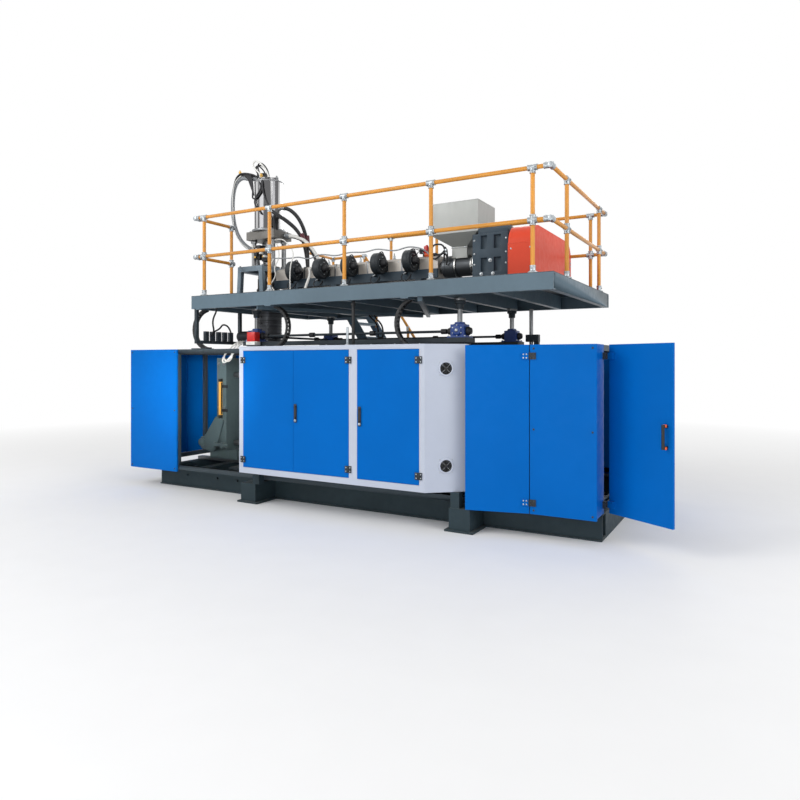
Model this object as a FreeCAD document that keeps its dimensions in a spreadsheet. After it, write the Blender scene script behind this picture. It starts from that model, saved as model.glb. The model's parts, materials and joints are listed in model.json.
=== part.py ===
"""Blow moulding machine with a raised extruder platform, as a parametric document.

Frame: millimetres, +Z up, +X to the right along the machine, +Y away from the operator.
The origin lies on the floor, under the middle of the base frame.
"""
import FreeCAD, Part

import math
import os
import re

import Sketcher

Vector = FreeCAD.Vector
Rotation = FreeCAD.Rotation

doc = FreeCAD.newDocument("BlowMouldingMachine")
sheet = doc.addObject("Spreadsheet::Sheet", "Sizes")

# ---------------------------------------------------------------- driving dimensions

SIZES = {
    # base frame
    "base_length": 5678,
    "base_width": 2200,
    "base_height": 240,
    "base_flange": 130,
    "base_wall": 14,
    "skirt_reach": 20,
    "skirt_thick": 14,
    "cross_width": 140,
    "cross_count": 11,
    "port_radius": 15,
    "port_height": 150,
    "port_first": 487,
    "port_second": 1008,
    "port_third": 1342,
    "foot_left_inset": 24,
    "foot_right_inset": 41,
    "foot_width": 293,
    "foot_thick": 20,
    "foot_reach": 363,
    "foot_column": 215,
    "foot_post": 90,
    "guard_overhang": 326,
    "guard_reach": 222,
    # guard round the clamp
    "guard_sill": 226,
    "guard_top": 1755,
    "guard_tube": 50,
    "guard_rail": 55,
    "guard_bar": 12,
    "rear_posts": 5,
    "left_bays": 4,
    "panel_depth": 25,
    "panel_sheet": 3,
    "panel_gap": 3,
    "left_panel_width": 858,
    "right_panel_width": 596,
    "door_width": 588,
    "door_swing": 13.5,
    "end_door_width": 667,
    "end_door_swing": 121,
    "return_depth": 257,
    "end_panel_count": 8,
    "rear_panel_count": 8,
    "hinge_low": 327,
    "hinge_high": 1652,
    "hinge_leaf": 60,
    "hinge_thick": 8,
    "hinge_pin": 6,
    "handle_low": 886,
    "handle_high": 1088,
    "handle_reach": 45,
    "handle_bar": 13,
    "handle_inset": 60,
    "end_hinge_reach": 18,
    "cabinet_gap": 12,
    "cabinet_depth": 288,
    # white control cabinet
    "cabinet_width": 2315,
    "cabinet_sill": 373,
    "cabinet_top": 1769,
    "cabinet_wall": 20,
    "chamfer_width": 317,
    "chamfer_angle": 39.5,
    "divider_inset": 1512,
    "divider_width": 98,
    "cabinet_margin": 58,
    "cabinet_door_sill": 440,
    "cabinet_door_top": 1720,
    "door_proud": 2,
    "cabinet_hinge_low": 525,
    "cabinet_hinge_high": 1617,
    "cabinet_hinge": 52,
    "lock_height": 1070,
    "lock_length": 140,
    "lock_width": 26,
    "lock_thick": 14,
    "lock_inset": 34,
    "mount_plate": 4,
    "fan_ring": 75,
    "fan_bore": 58,
    "fan_thick": 12,
    "fan_axle": 6,
    "fan_axle_length": 26,
    "fan_bar": 5,
    "fan_plate": 4,
    "fan_hub": 22,
    "fan_hub_length": 16,
    "fan_blade": 24,
    "fan_blade_thick": 2,
    "fan_pitch": 35,
    "fan_blades": 5,
    "fan_low": 620,
    "fan_high": 1537,
    "platform_inset": 642,
    # platform
    "end_walkway": 433,
    "platform_overhang": 83,
    "platform_rise": 463,
    "platform_height": 164,
    "deck_thick": 6,
    "deck_beam": 60,
    "deck_bays": 8,
    "beam_wall": 9,
    "brace_offset": 300,
    "head_room": 10,
    "brace_width": 50,
    "brace_height": 40,
    # railing
    "rail_radius": 21,
    "tube_sides": 8,
    "round_sides": 16,
    "post_count": 5,
    "rear_post_count": 3,
    "rail_height": 980,
    "rail_mid": 491,
    "rail_inset": 43,
    "rail_corner": 37,
    "left_post_inset": 663,
    "right_post_inset": 589,
    "rear_post_inset": 363,
    "gate_width": 1557,
    "rail_first": 179,
    "rail_last": 209,
    "collar_radius": 29,
    "collar_length": 62,
    "post_foot_radius": 48,
    "post_foot_thick": 10,
    "jack_left_inset": 732,
    "jack_right_inset": 1103,
    "jack_inset": 388,
    # lifting jacks
    "jack_seat": 1800,
    "jack_plate": 50,
    "jack_plate_width": 240,
    "jack_box": 150,
    "jack_box_height": 139,
    "jack_screw": 27,
    "jack_tail": 260,
    "sole_length": 720,
    "sole_thick": 25,
    "jack_flange": 62,
    "jack_flange_thick": 23,
    "column_width": 170,
    "column_plate": 20,
    "shaft_radius": 14,
    "lift_motor_radius": 62,
    "lift_motor_length": 210,
    "guide_radius": 24,
    "guide_offset": 216,
    "guide_inset": 283,
    "guide_post": 60,
    "lift_travel": 150,
    "running_gap": 0.6,
    "clamp_inset": 242,
    # clamp
    "daylight": 444,
    "platen_thick": 168,
    "platen_half": 600,
    "platen_floor": 420,
    "platen_top": 1648,
    "gusset_depth": 305,
    "gusset_thick": 40,
    "gusset_top": 884,
    "gusset_half": 560,
    "tie_radius": 33,
    "tie_half": 430,
    "clamp_opening": 250,
    "clamp_closing": 80,
    "tie_low": 508,
    "tie_high": 1420,
    "tie_nut": 67,
    "tie_nut_length": 70,
    "rear_platen_reach": 1535,
    "rear_platen_thick": 120,
    "shoe_length": 490,
    "shoe_width": 150,
    "shoe_overhang": 97,
    "track_height": 40,
    "track_width": 90,
    "track_half": 430,
    "clamp_bore": 90,
    "clamp_rod": 45,
    "rod_engaged": 60,
    "curtain_length": 520,
    "curtain_low": 850,
    "curtain_width": 36,
    # die head
    "head_radius": 175,
    "head_neck": 150,
    "head_drop": 567,
    "band_drop": 147,
    "die_radius": 92,
    "die_drop": 675,
    "die_lip": 40,
    "die_taper": 38,
    "head_throat": 126,
    "stand_room": 6,
    "stand_beam": 70,
    "stand_head_width": 430,
    "stand_foot_width": 476,
    "stand_half": 390,
    "stand_leg": 60,
    "head_column": 32,
    "ram_stroke": 400,
    "head_plate_thick": 113,
    "head_plate_length": 490,
    "head_plate_width": 380,
    "ram_radius": 55,
    "cylinder_radius": 200,
    "cylinder_length": 706,
    "cap_radius": 165,
    "cap_height": 36,
    "manifold_length": 140,
    "manifold_width": 110,
    "manifold_height": 96,
    "column_inset": 75,
    "adapter_radius": 92,
    "adapter_reach": 190,
    "axis_rise": 293,
    # extruder
    "barrel_radius": 70,
    "shroud_inset": 225,
    "shroud_length": 2470,
    "shroud_half": 118,
    "shroud_drop": 120,
    "shroud_rise": 140,
    "shroud_gap": 10,
    "zone_count": 5,
    "cradle_height": 110,
    "cradle_thick": 30,
    "cradle_gap": 5,
    "cradle_drop": 10,
    "cradle_leg": 80,
    "cradle_legs": 4,
    "cradle_first": 321,
    "blower_radius": 130,
    "blower_width": 110,
    "blower_rise": 75,
    "blower_pitch": 436,
    "blower_inset": 417,
    "blower_depth": 132,
    "blower_motor": 48,
    "blower_motor_length": 85,
    "inlet_depth": 8,
    "outlet_width": 100,
    "outlet_gap": 6,
    "outlet_height": 92,
    "throat_radius": 130,
    "throat_gap": 35,
    "throat_length": 410,
    "gearbox_gap": 60,
    "neck_radius": 110,
    "flange_radius": 170,
    "flange_thick": 30,
    "gearbox_length": 419,
    "gearbox_half": 290,
    "gearbox_rise": 300,
    "gearbox_chamfer": 45,
    "pocket_depth": 40,
    "pocket_margin": 80,
    "pocket_web": 86,
    "coupling_radius": 60,
    "coupling_length": 56,
    "cover_thick": 270,
    "cover_front": 440,
    "cover_back": 1070,
    "cover_rise": 340,
    "cover_round": 200,
    "motor_radius": 205,
    "motor_length": 640,
    "motor_rise": 20,
    "motor_offset": 745,
    "motor_bell": 215,
    "motor_bell_length": 45,
    "motor_foot": 120,
    "hopper_offset": 225,
    "hopper_length": 600,
    "hopper_width": 520,
    "hopper_rise": 705,
    "shoulder_rise": 350,
    "hopper_neck": 150,
    "outlet_rise": 210,
    "hopper_wall": 4,
    "feed_box": 190,
    "rack_inset": 47,
    "rack_drop": 433,
    # valve rack, chains and hoses
    "rack_bar": 40,
    "rack_front_inset": 43,
    "rack_back_inset": 813,
    "valve_count": 5,
    "valve_width": 62,
    "valve_height": 120,
    "chain_thick": 36,
    "chain_left_inset": 117,
    "chain_middle_inset": 1240,
    "chain_right_inset": 3066,
    "chain_width": 62,
    "chain_depth": 148,
    "chain_plate": 12,
    "chain_bracket": 90,
    "chain_left_bow": 210,
    "chain_left_sway": 50,
    "chain_middle_bow": 192,
    "chain_middle_sway": 43,
    "chain_right_bow": 169,
    "chain_right_sway": 19,
    "conduit_radius": 30,
    "conduit_reach": 505,
    "conduit_rise": 72,
    "hose_radius": 24,
    "hose_front": 48,
    "hose_front_bow": 564,
    "hose_rear": 106,
    "hose_rear_bow": 470,
    "loop_radius": 12,
    "loop_reach": 315,
    "loop_rise": 280,
    "stair_gap": 127,
    # stair
    "stair_width": 600,
    "stair_inset": 732,
    "stair_run": 1592,
    "stringer_depth": 150,
    "stringer_thick": 8,
    "step_count": 10,
    "step_depth": 170,
    "step_thick": 30,
    "landing_beam": 50,
    "landing_overhang": 3,
    "handrail_rise": 900,
    "foot_clearance": 0.3,
}

# places and levels that follow from the sizes above, in order
DERIVED = {
    "guard_left_pos": "-base_length / 2 - guard_overhang",
    "guard_front_pos": "-base_width / 2 - guard_reach",
    "cabinet_front_pos": "guard_front_pos - cabinet_depth",
    "cabinet_corner_pos": "base_length / 2 - right_panel_width - door_width - cabinet_gap",
    "cabinet_left_pos": "cabinet_corner_pos - chamfer_width - cabinet_width",
    "divider_pos": "cabinet_left_pos + divider_inset",
    "foot_left_pos": "cabinet_left_pos - foot_left_inset",
    "foot_right_pos": "cabinet_corner_pos - foot_right_inset",
    "platform_floor": "jack_seat + platform_rise",
    "platform_left_pos": "platform_inset - base_length / 2",
    "clamp_pos": "platform_left_pos + clamp_inset",
    "shroud_left_pos": "clamp_pos + shroud_inset",
    "throat_left_pos": "shroud_left_pos + shroud_length + throat_gap",
    "gearbox_left_pos": "throat_left_pos + throat_length + gearbox_gap",
    "cover_left_pos": "gearbox_left_pos + gearbox_length + coupling_length",
    "platform_right_pos": "cover_left_pos + cover_thick + end_walkway",
    "platform_length": "platform_right_pos - platform_left_pos",
    "rail_pitch": "(platform_length - rail_first - rail_last) / (post_count - 1)",
    "platform_half": "base_width / 2 + platform_overhang",
    "left_post_pos": "left_post_inset - platform_half",
    "right_post_pos": "right_post_inset - platform_half",
    "rear_post_pos": "platform_half - rear_post_inset",
    "rear_rail_left_pos": "platform_left_pos + gate_width",
    "jack_left_pos": "platform_left_pos + jack_left_inset",
    "jack_right_pos": "platform_right_pos - jack_right_inset",
    "jack_half": "platform_half - jack_inset",
    "guide_pos": "jack_right_pos + guide_offset",
    "guide_depth": "platform_half - guide_inset",
    "rear_platen_pos": "clamp_pos + rear_platen_reach",
    "axis_height": "platform_floor + platform_height + axis_rise",
    "head_band_top": "platform_floor + platform_height - band_drop",
    "head_low": "platform_floor + platform_height - head_drop",
    "die_low": "platform_floor + platform_height - die_drop",
    "stand_top": "axis_height + adapter_radius + stand_room + stand_beam",
    "head_plate_low": "stand_top + ram_stroke",
    "shroud_floor": "axis_height - shroud_drop",
    "shroud_top": "axis_height + shroud_rise",
    "blower_height": "axis_height + blower_rise",
    "blower_first_pos": "shroud_left_pos + blower_inset",
    "gearbox_top": "axis_height + gearbox_rise",
    "cover_top": "axis_height + cover_rise",
    "motor_height": "axis_height + motor_rise",
    "hopper_pos": "throat_left_pos + hopper_offset",
    "hopper_outlet": "axis_height + outlet_rise",
    "hopper_shoulder": "axis_height + shoulder_rise",
    "hopper_top": "axis_height + hopper_rise",
    "rack_pos": "platform_left_pos + rack_inset",
    "rack_low": "platform_floor - rack_drop",
    "rack_front_pos": "rack_front_inset - platform_half",
    "rack_back_pos": "rack_back_inset - platform_half",
    "chain_left_pos": "platform_left_pos + chain_left_inset",
    "chain_middle_pos": "platform_left_pos + chain_middle_inset",
    "chain_right_pos": "platform_left_pos + chain_right_inset",
    "chain_depth_pos": "chain_depth - platform_half",
    "stair_inner_pos": "platform_half + stair_gap",
    "stair_top_pos": "platform_left_pos + stair_inset",
    "stair_foot_pos": "stair_top_pos + stair_run",
    "landing_left_pos": "platform_left_pos - landing_overhang",
}
WORD = re.compile(r"[a-z][a-z_]*[a-z]")
ALIASES = SIZES.keys() | DERIVED.keys()

rows = [(alias, str(value)) for alias, value in SIZES.items()]
rows += [(alias, f"={text}") for alias, text in DERIVED.items()]
for row, (alias, content) in enumerate(rows, start=1):
    sheet.set(f"A{row}", alias.replace("_", " "))
    sheet.set(f"B{row}", content)
    sheet.setAlias(f"B{row}", alias)
doc.recompute()

# ---------------------------------------------------------------- helpers

nodes = []


def bound(text):
    """An expression on the sheet, from one written with its bare aliases."""
    return WORD.sub(lambda m: "Sizes." + m.group(0) if m.group(0) in ALIASES else m.group(0), str(text))


def size(text):
    """The present value of an expression, for shapes that are set by code."""
    return float(eval_value(bound(text)))


def eval_value(expression):
    value = sheet.evalExpression(expression)
    return getattr(value, "Value", value)


def move(thing, x=0, y=0, z=0):
    """Tie an object's place to the sheet."""
    for letter, text in zip("xyz", (x, y, z)):
        thing.setExpression(f"Placement.Base.{letter}", bound(text))
    return thing


def block(name, x, y, z):
    """A box between two expressions on each axis."""
    box = doc.addObject("Part::Box", name)
    for side, (low, high) in zip(("Length", "Width", "Height"), (x, y, z)):
        box.setExpression(side, bound(f"({high}) - ({low})"))
    return move(box, x[0], y[0], z[0])


TURNS = {"x": Rotation(Vector(0, 1, 0), 90), "y": Rotation(Vector(1, 0, 0), -90), "z": Rotation()}


def rod(name, axis, centre, radius, length):
    """A round bar that starts at centre and runs along +axis."""
    bar = doc.addObject("Part::Cylinder", name)
    bar.setExpression("Radius", bound(radius))
    bar.setExpression("Height", bound(length))
    bar.Placement = FreeCAD.Placement(Vector(), TURNS[axis])
    return move(bar, *centre)


def tube(name, axis, centre, radius, length, sides="tube_sides"):
    """A tube of the railing as a prism with a few sides, which keeps the mesh of a long railing light."""
    bar = doc.addObject("Part::Prism", name)
    bar.Polygon = SIZES[sides]
    bar.setExpression("Circumradius", bound(radius))
    bar.setExpression("Height", bound(length))
    bar.Placement = FreeCAD.Placement(Vector(), TURNS[axis])
    return move(bar, *centre)


def drum(name, axis, centre, radius, length):
    """A round part that fits no bore closely, as a prism with enough sides to look round."""
    return tube(name, axis, centre, radius, length, "round_sides")


def sided_face(centre, along, radius, sides):
    """A face with many sides, square to a direction."""
    turned = Rotation(Vector(0, 0, 1), along)
    step = 2 * math.pi / SIZES[sides]
    corners = [
        centre + turned.multVec(Vector(math.cos(i * step), math.sin(i * step), 0) * radius)
        for i in range(SIZES[sides])
    ]
    return Part.Face(Part.makePolygon(corners + corners[:1]))


def group(label, members):
    """Several solids of one sub-part, each left whole."""
    compound = doc.addObject("Part::Compound", label)
    compound.Links = members
    return keep(label, compound)


def minus(name, base, tools):
    """A base with one or more tools taken out."""
    tool = tools[0]
    if len(tools) > 1:
        tool = doc.addObject("Part::MultiFuse", name + "Tools")
        tool.Shapes = tools
    cut = doc.addObject("Part::Cut", name)
    cut.Base = base
    cut.Tool = tool
    return cut


def plus(name, members):
    """Members joined into one solid."""
    fuse = doc.addObject("Part::MultiFuse", name)
    fuse.Shapes = members
    fuse.Refine = True
    return fuse


def shaped(name, shape):
    """A piece whose shape is set by code, from sizes on the sheet."""
    feature = doc.addObject("Part::Feature", name)
    feature.Shape = shape
    return feature


def keep(label, thing):
    """Name a finished sub-part, which is written to a file of that name."""
    thing.Label = label
    nodes.append(thing)
    return thing


def origin_plane(body, role):
    return next(f for f in body.Origin.OriginFeatures if f.Role == role)


def sketch_on(body, name, role="XY_Plane", level=0):
    """An empty sketch on one of the body's own planes, raised by level."""
    sketch = body.newObject("Sketcher::SketchObject", name)
    sketch.AttachmentSupport = (origin_plane(body, role), [""])
    sketch.MapMode = "FlatFace"
    if level:
        sketch.setExpression("AttachmentOffset.Base.z", bound(level))
    return sketch


def outline(sketch, corners):
    """A closed outline whose corners are all tied to the sheet."""
    count = len(corners)
    first = sketch.GeometryCount
    places = [(size(u), size(v)) for u, v in corners]
    for i in range(count):
        start, end = places[i], places[(i + 1) % count]
        sketch.addGeometry(Part.LineSegment(Vector(*start, 0), Vector(*end, 0)), False)
    for i in range(count):
        sketch.addConstraint(Sketcher.Constraint("Coincident", first + i, 2, first + (i + 1) % count, 1))
    for i, (corner, place) in enumerate(zip(corners, places)):
        for kind, text, number in zip(("DistanceX", "DistanceY"), corner, place):
            index = sketch.addConstraint(Sketcher.Constraint(kind, -1, 1, first + i, 1, number))
            sketch.setExpression(f"Constraints[{index}]", bound(text))
    return sketch


def circle(sketch, centre, radius):
    """A circle tied to the sheet."""
    index = sketch.addGeometry(
        Part.Circle(Vector(size(centre[0]), size(centre[1]), 0), Vector(0, 0, 1), size(radius)), False
    )
    for kind, text in zip(("DistanceX", "DistanceY"), centre):
        row = sketch.addConstraint(Sketcher.Constraint(kind, -1, 1, index, 3, size(text)))
        sketch.setExpression(f"Constraints[{row}]", bound(text))
    row = sketch.addConstraint(Sketcher.Constraint("Radius", index, size(radius)))
    sketch.setExpression(f"Constraints[{row}]", bound(radius))
    return sketch


def rectangle(x, y):
    """The four corners of a rectangle between two pairs of expressions."""
    return [(x[0], y[0]), (x[1], y[0]), (x[1], y[1]), (x[0], y[1])]


def pad(body, sketch, length, name="Pad"):
    feature = body.newObject("PartDesign::Pad", name)
    feature.Profile = sketch
    feature.setExpression("Length", bound(length))
    return feature


def pocket(body, sketch, length, name="Pocket", turned=False):
    feature = body.newObject("PartDesign::Pocket", name)
    feature.Profile = sketch
    feature.setExpression("Length", bound(length))
    feature.Reversed = turned
    return feature


def pan(name, width, height):
    """A folded sheet panel, in its own frame: hung at its left edge, face on y = 0, folds inwards."""
    body = doc.addObject("PartDesign::Body", name)
    face = outline(sketch_on(body, name + "Face", "XZ_Plane"), rectangle(("0", width), ("0", height)))
    blank = pad(body, face, "panel_depth", name + "Blank")
    blank.Reversed = True
    wall = "panel_sheet"
    inner = outline(
        sketch_on(body, name + "Inner", "XZ_Plane", level=f"-{wall}"),
        rectangle((wall, f"{width} - {wall}"), (wall, f"{height} - {wall}")),
    )
    pocket(body, inner, "panel_depth", name + "Fold")
    return body


def hung(label, members, axis, turn, slope="0"):
    """A leaf built round its hinge line at the origin, then hung in place and swung open."""
    leaf = group(label, members)
    leaf.Placement = FreeCAD.Placement(Vector(), Rotation(Vector(0, 0, 1), 1))
    leaf.setExpression("Placement.Rotation.Angle", bound(f"{turn} + {slope}"))
    return move(leaf, *axis)


# ---------------------------------------------------------------- base frame

HALF_LENGTH = "base_length / 2"
HALF_WIDTH = "base_width / 2"
FLANGE_EDGE = "(base_width / 2 - base_flange)"


def channel(name, side, flange, height, wall, length):
    """A rolled channel along +X that stands on z = 0, with its web on y = 0 and its flanges towards side."""
    body = doc.addObject("PartDesign::Body", name)
    edge, back = f"{side} * {flange}", f"{side} * {wall}"
    corners = [("0", "0"), (edge, "0"), (edge, wall), (back, wall), (back, f"{height} - {wall}")]
    corners += [(edge, f"{height} - {wall}"), (edge, height), ("0", height)]
    pad(body, outline(sketch_on(body, name + "_section", "YZ_Plane"), corners), length, name + "_length")
    return body


def base_beam(label, side):
    """One long beam of the base: a channel that opens inwards, on a wider bottom strip."""
    web = "(base_height - skirt_thick)"
    body = channel(label + "_channel", side, "base_flange", web, "base_wall", "base_length")
    if side > 0:
        ports = sketch_on(body, label + "_ports", "XZ_Plane")
        for place in ("port_first", "port_second", "port_third"):
            circle(ports, (place, "port_height - skirt_thick"), "port_radius")
        pocket(body, ports, "base_wall * 2", label + "_drilling")
    move(body, f"-{HALF_LENGTH}", f"-{side} * {HALF_WIDTH}", "skirt_thick")
    rim, inner = f"-{side} * ({HALF_WIDTH} + skirt_reach)", f"-{side} * {FLANGE_EDGE}"
    low, high = (rim, inner) if side > 0 else (inner, rim)
    skirt = block(label + "_skirt", (f"-{HALF_LENGTH}", HALF_LENGTH), (low, high), ("0", "skirt_thick"))
    return [body, skirt]


group("base_long_beams", base_beam("base_front", 1) + base_beam("base_rear", -1))

CROSS_PITCH = "((base_length - cross_width) / (cross_count - 1))"
crosses = []
for i in range(SIZES["cross_count"]):
    left = f"-{HALF_LENGTH} + {i} * {CROSS_PITCH}"
    place = (left, f"{left} + cross_width"), (f"-{FLANGE_EDGE}", FLANGE_EDGE), ("0", "base_height")
    crosses.append(block(f"cross_{i}", *place))

CABINET_BACK = "(guard_front_pos + panel_depth)"
ARM_TOP = "(guard_sill - panel_gap)"
feet = []
for name, centre in (("left", "foot_left_pos"), ("right", "foot_right_pos")):
    for end, side in (("front", -1), ("rear", 1)):
        near, far = f"{side} * ({HALF_WIDTH} + skirt_reach)", f"{side} * ({HALF_WIDTH} + foot_reach)"
        low, high = (far, near) if side < 0 else (near, far)
        across = (f"{centre} - foot_width / 2", f"{centre} + foot_width / 2")
        feet.append(block(f"foot_{name}_{end}", across, (low, high), ("0", "foot_thick")))
        root, tip = f"{side} * {HALF_WIDTH}", f"{side} * ({HALF_WIDTH} + foot_reach - foot_thick)"
        if side < 0:
            low, high = tip, root
        else:
            low, high = root, tip
        arm = (f"{centre} - foot_column / 2", f"{centre} + foot_column / 2")
        feet.append(block(f"arm_{name}_{end}", arm, (low, high), ("foot_thick", ARM_TOP)))
for name, left in (("left", "cabinet_left_pos + foot_post / 2"), ("right", "foot_right_pos - foot_post")):
    across = (left, f"{left} + foot_post")
    deep = (
        f"-{HALF_WIDTH} - foot_reach + foot_thick", f"-{HALF_WIDTH} - foot_reach + foot_thick + foot_post"
    )
    feet.append(block(f"post_{name}", across, deep, (ARM_TOP, "cabinet_sill")))
group("base_cross_beams", crosses + feet)

# ---------------------------------------------------------------- guard frame

FRONT = ("(guard_front_pos + panel_depth)", "(guard_front_pos + panel_depth + guard_tube)")
REAR = ("(base_width / 2)", "(base_width / 2 + guard_tube)")
LEFT = ("(guard_left_pos + panel_depth)", "(guard_left_pos + panel_depth + guard_tube)")
RIGHT = ("(base_length / 2 - panel_depth - guard_tube)", "(base_length / 2 - panel_depth)")
LOW_RAIL = ("(base_height + guard_bar)", "(base_height + guard_bar + guard_rail)")
TOP_RAIL = ("(guard_top - guard_rail)", "guard_top")
POST = (LOW_RAIL[1], TOP_RAIL[0])
DOOR_LINE = "(base_length / 2 - right_panel_width)"
END_DOOR_LINE = "(guard_front_pos + panel_depth + return_depth)"
END_DOOR_EDGE = "(guard_front_pos + panel_depth + return_depth + end_door_width)"

frame = []
for level, rail in (("low", LOW_RAIL), ("top", TOP_RAIL)):
    frame.append(block(f"front_rail_{level}", (LEFT[0], RIGHT[1]), FRONT, rail))
    frame.append(block(f"rear_rail_{level}", (LEFT[0], RIGHT[1]), REAR, rail))
    frame.append(block(f"left_rail_{level}", LEFT, (FRONT[1], REAR[0]), rail))
    frame.append(block(f"right_rail_{level}", RIGHT, (FRONT[1], REAR[0]), rail))

ACCESS_LEFT = "(guard_left_pos + left_panel_width)"
front_posts = {
    "corner_left": LEFT,
    "access": (f"{ACCESS_LEFT} - guard_tube", ACCESS_LEFT),
    "cabinet": ("cabinet_left_pos", "cabinet_left_pos + guard_tube"),
    "jamb": (f"{DOOR_LINE} - door_width - guard_tube / 2", f"{DOOR_LINE} - door_width + guard_tube / 2"),
    "hinge": (f"{DOOR_LINE} - guard_tube / 2", f"{DOOR_LINE} + guard_tube / 2"),
    "corner_right": RIGHT,
}
for name, across in front_posts.items():
    frame.append(block(f"front_post_{name}", across, FRONT, POST))
    bar = (FRONT[0], f"-{FLANGE_EDGE}")
    if name != "corner_left":
        frame.append(block(f"front_bar_{name}", across, bar, ("base_height", LOW_RAIL[0])))
for i in range(SIZES["rear_posts"]):
    left = f"{LEFT[0]} + {i} * ({RIGHT[0]} - {LEFT[0]}) / (rear_posts - 1)"
    across = (left, f"{left} + guard_tube")
    frame.append(block(f"rear_post_{i}", across, REAR, POST))
    if i:
        frame.append(block(f"rear_bar_{i}", across, (FLANGE_EDGE, REAR[1]), ("base_height", LOW_RAIL[0])))
for i in range(1, SIZES["left_bays"]):
    near = f"{FRONT[1]} + {i} * ({REAR[0]} - {FRONT[1]}) / left_bays - guard_tube / 2"
    frame.append(block(f"left_post_{i}", LEFT, (near, f"{near} + guard_tube"), POST))
for name, near in (("front", f"-{HALF_WIDTH}"), ("rear", FLANGE_EDGE)):
    deep = (near, f"{near} + base_flange")
    frame.append(
        block(
            f"left_bar_{name}",
            (LEFT[0], f"-{HALF_LENGTH} + cross_width"),
            deep,
            ("base_height", LOW_RAIL[0]),
        )
    )
end_posts = {
    "hinge": f"{END_DOOR_LINE} - guard_tube",
    "jamb": END_DOOR_EDGE,
    "middle": f"({END_DOOR_EDGE} + {REAR[0]}) / 2",
}
for name, near in end_posts.items():
    frame.append(block(f"right_post_{name}", RIGHT, (near, f"{near} + guard_tube"), POST))
CHAINS = {
    "left": ("chain_left_pos", "-chain_left_bow", "chain_left_sway"),
    "middle": ("chain_middle_pos", "chain_middle_bow", "-chain_middle_sway"),
    "right": ("chain_right_pos", "-chain_right_bow", "-chain_right_sway"),
}
CHAIN_LOW = "(guard_top + chain_plate)"
CHAIN_TOP = "(platform_floor - chain_plate)"
CHAIN_REACH = "(chain_depth_pos + chain_width / 2)"
for name, (top, _, sway) in CHAINS.items():
    across = (f"{top} + {sway} - chain_bracket / 2", f"{top} + {sway} + chain_bracket / 2")
    frame.append(block(f"chain_seat_{name}", across, (FRONT[0], CHAIN_REACH), ("guard_top", CHAIN_LOW)))
group("guard_frame", frame)

# ---------------------------------------------------------------- guard panels and doors

PANEL_HEIGHT = "(guard_top - guard_sill)"
fixed_fronts = {
    "left": ("guard_left_pos", "left_panel_width"),
    "right": (f"{DOOR_LINE} + panel_gap", "(right_panel_width - panel_gap)"),
}
front_panels = [
    move(pan(f"front_panel_{name}", width, PANEL_HEIGHT), left, "guard_front_pos", "guard_sill")
    for name, (left, width) in fixed_fronts.items()
]
group("front_panels", front_panels)

INFILL_HEIGHT = f"({TOP_RAIL[0]} - {LOW_RAIL[1]})"
END_PITCH = f"(({REAR[1]} - {FRONT[0]}) / end_panel_count)"
left_panels = []
for i in range(SIZES["end_panel_count"]):
    panel = pan(f"left_panel_{i}", f"({END_PITCH} - panel_gap)", INFILL_HEIGHT)
    panel.Placement = FreeCAD.Placement(Vector(), Rotation(Vector(0, 0, 1), -90))
    move(panel, "guard_left_pos", f"{FRONT[0]} + {i + 1} * {END_PITCH} - panel_gap", LOW_RAIL[1])
    left_panels.append(panel)
group("left_end_panels", left_panels)

REAR_PITCH = f"(({HALF_LENGTH} - guard_left_pos) / rear_panel_count)"
rear_panels = []
for i in range(SIZES["rear_panel_count"]):
    panel = pan(f"rear_panel_{i}", f"({REAR_PITCH} - panel_gap)", PANEL_HEIGHT)
    panel.Placement = FreeCAD.Placement(Vector(), Rotation(Vector(0, 0, 1), 180))
    move(panel, f"{HALF_LENGTH} - {i} * {REAR_PITCH}", f"{REAR[1]} + panel_depth", "guard_sill")
    rear_panels.append(panel)
group("rear_panels", rear_panels)

right_panels = []
END_SILL = "(base_height + panel_gap)"
END_HEIGHT = f"(guard_top - {END_SILL})"
end_spans = {
    "return": (FRONT[0], "(return_depth - panel_gap)"),
    "middle": (f"{END_DOOR_EDGE} + panel_gap", f"(({REAR[1]} - {END_DOOR_EDGE}) / 2 - panel_gap)"),
    "rear": (
        f"({END_DOOR_EDGE} + {REAR[1]}) / 2 + panel_gap", f"(({REAR[1]} - {END_DOOR_EDGE}) / 2 - panel_gap)"
    ),
}
for name, (near, width) in end_spans.items():
    panel = pan(f"right_panel_{name}", width, END_HEIGHT)
    panel.Placement = FreeCAD.Placement(Vector(), Rotation(Vector(0, 0, 1), 90))
    right_panels.append(move(panel, HALF_LENGTH, near, END_SILL))
group("right_end_panels", right_panels)

DOOR_AXIS = (DOOR_LINE, "guard_front_pos - running_gap - hinge_thick", "0")
KNUCKLE = "(hinge_pin + running_gap)"
DOOR_FACE = "hinge_thick"


def leaf_plate(name, low, across, deep):
    return block(name, across, deep, (f"{low} - hinge_leaf / 2", f"{low} + hinge_leaf / 2"))


door_pan = pan("guard_door_pan", "(door_width - panel_gap)", PANEL_HEIGHT)
move(door_pan, "-door_width + panel_gap / 2", DOOR_FACE, "guard_sill")
door_parts = [door_pan]
for level in ("hinge_low", "hinge_high"):
    across = (f"-{KNUCKLE} - hinge_leaf", f"-{KNUCKLE}")
    door_parts.append(leaf_plate(f"door_leaf_{level}", level, across, ("0", DOOR_FACE)))
hung("guard_door", door_parts, DOOR_AXIS, "door_swing")

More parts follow.
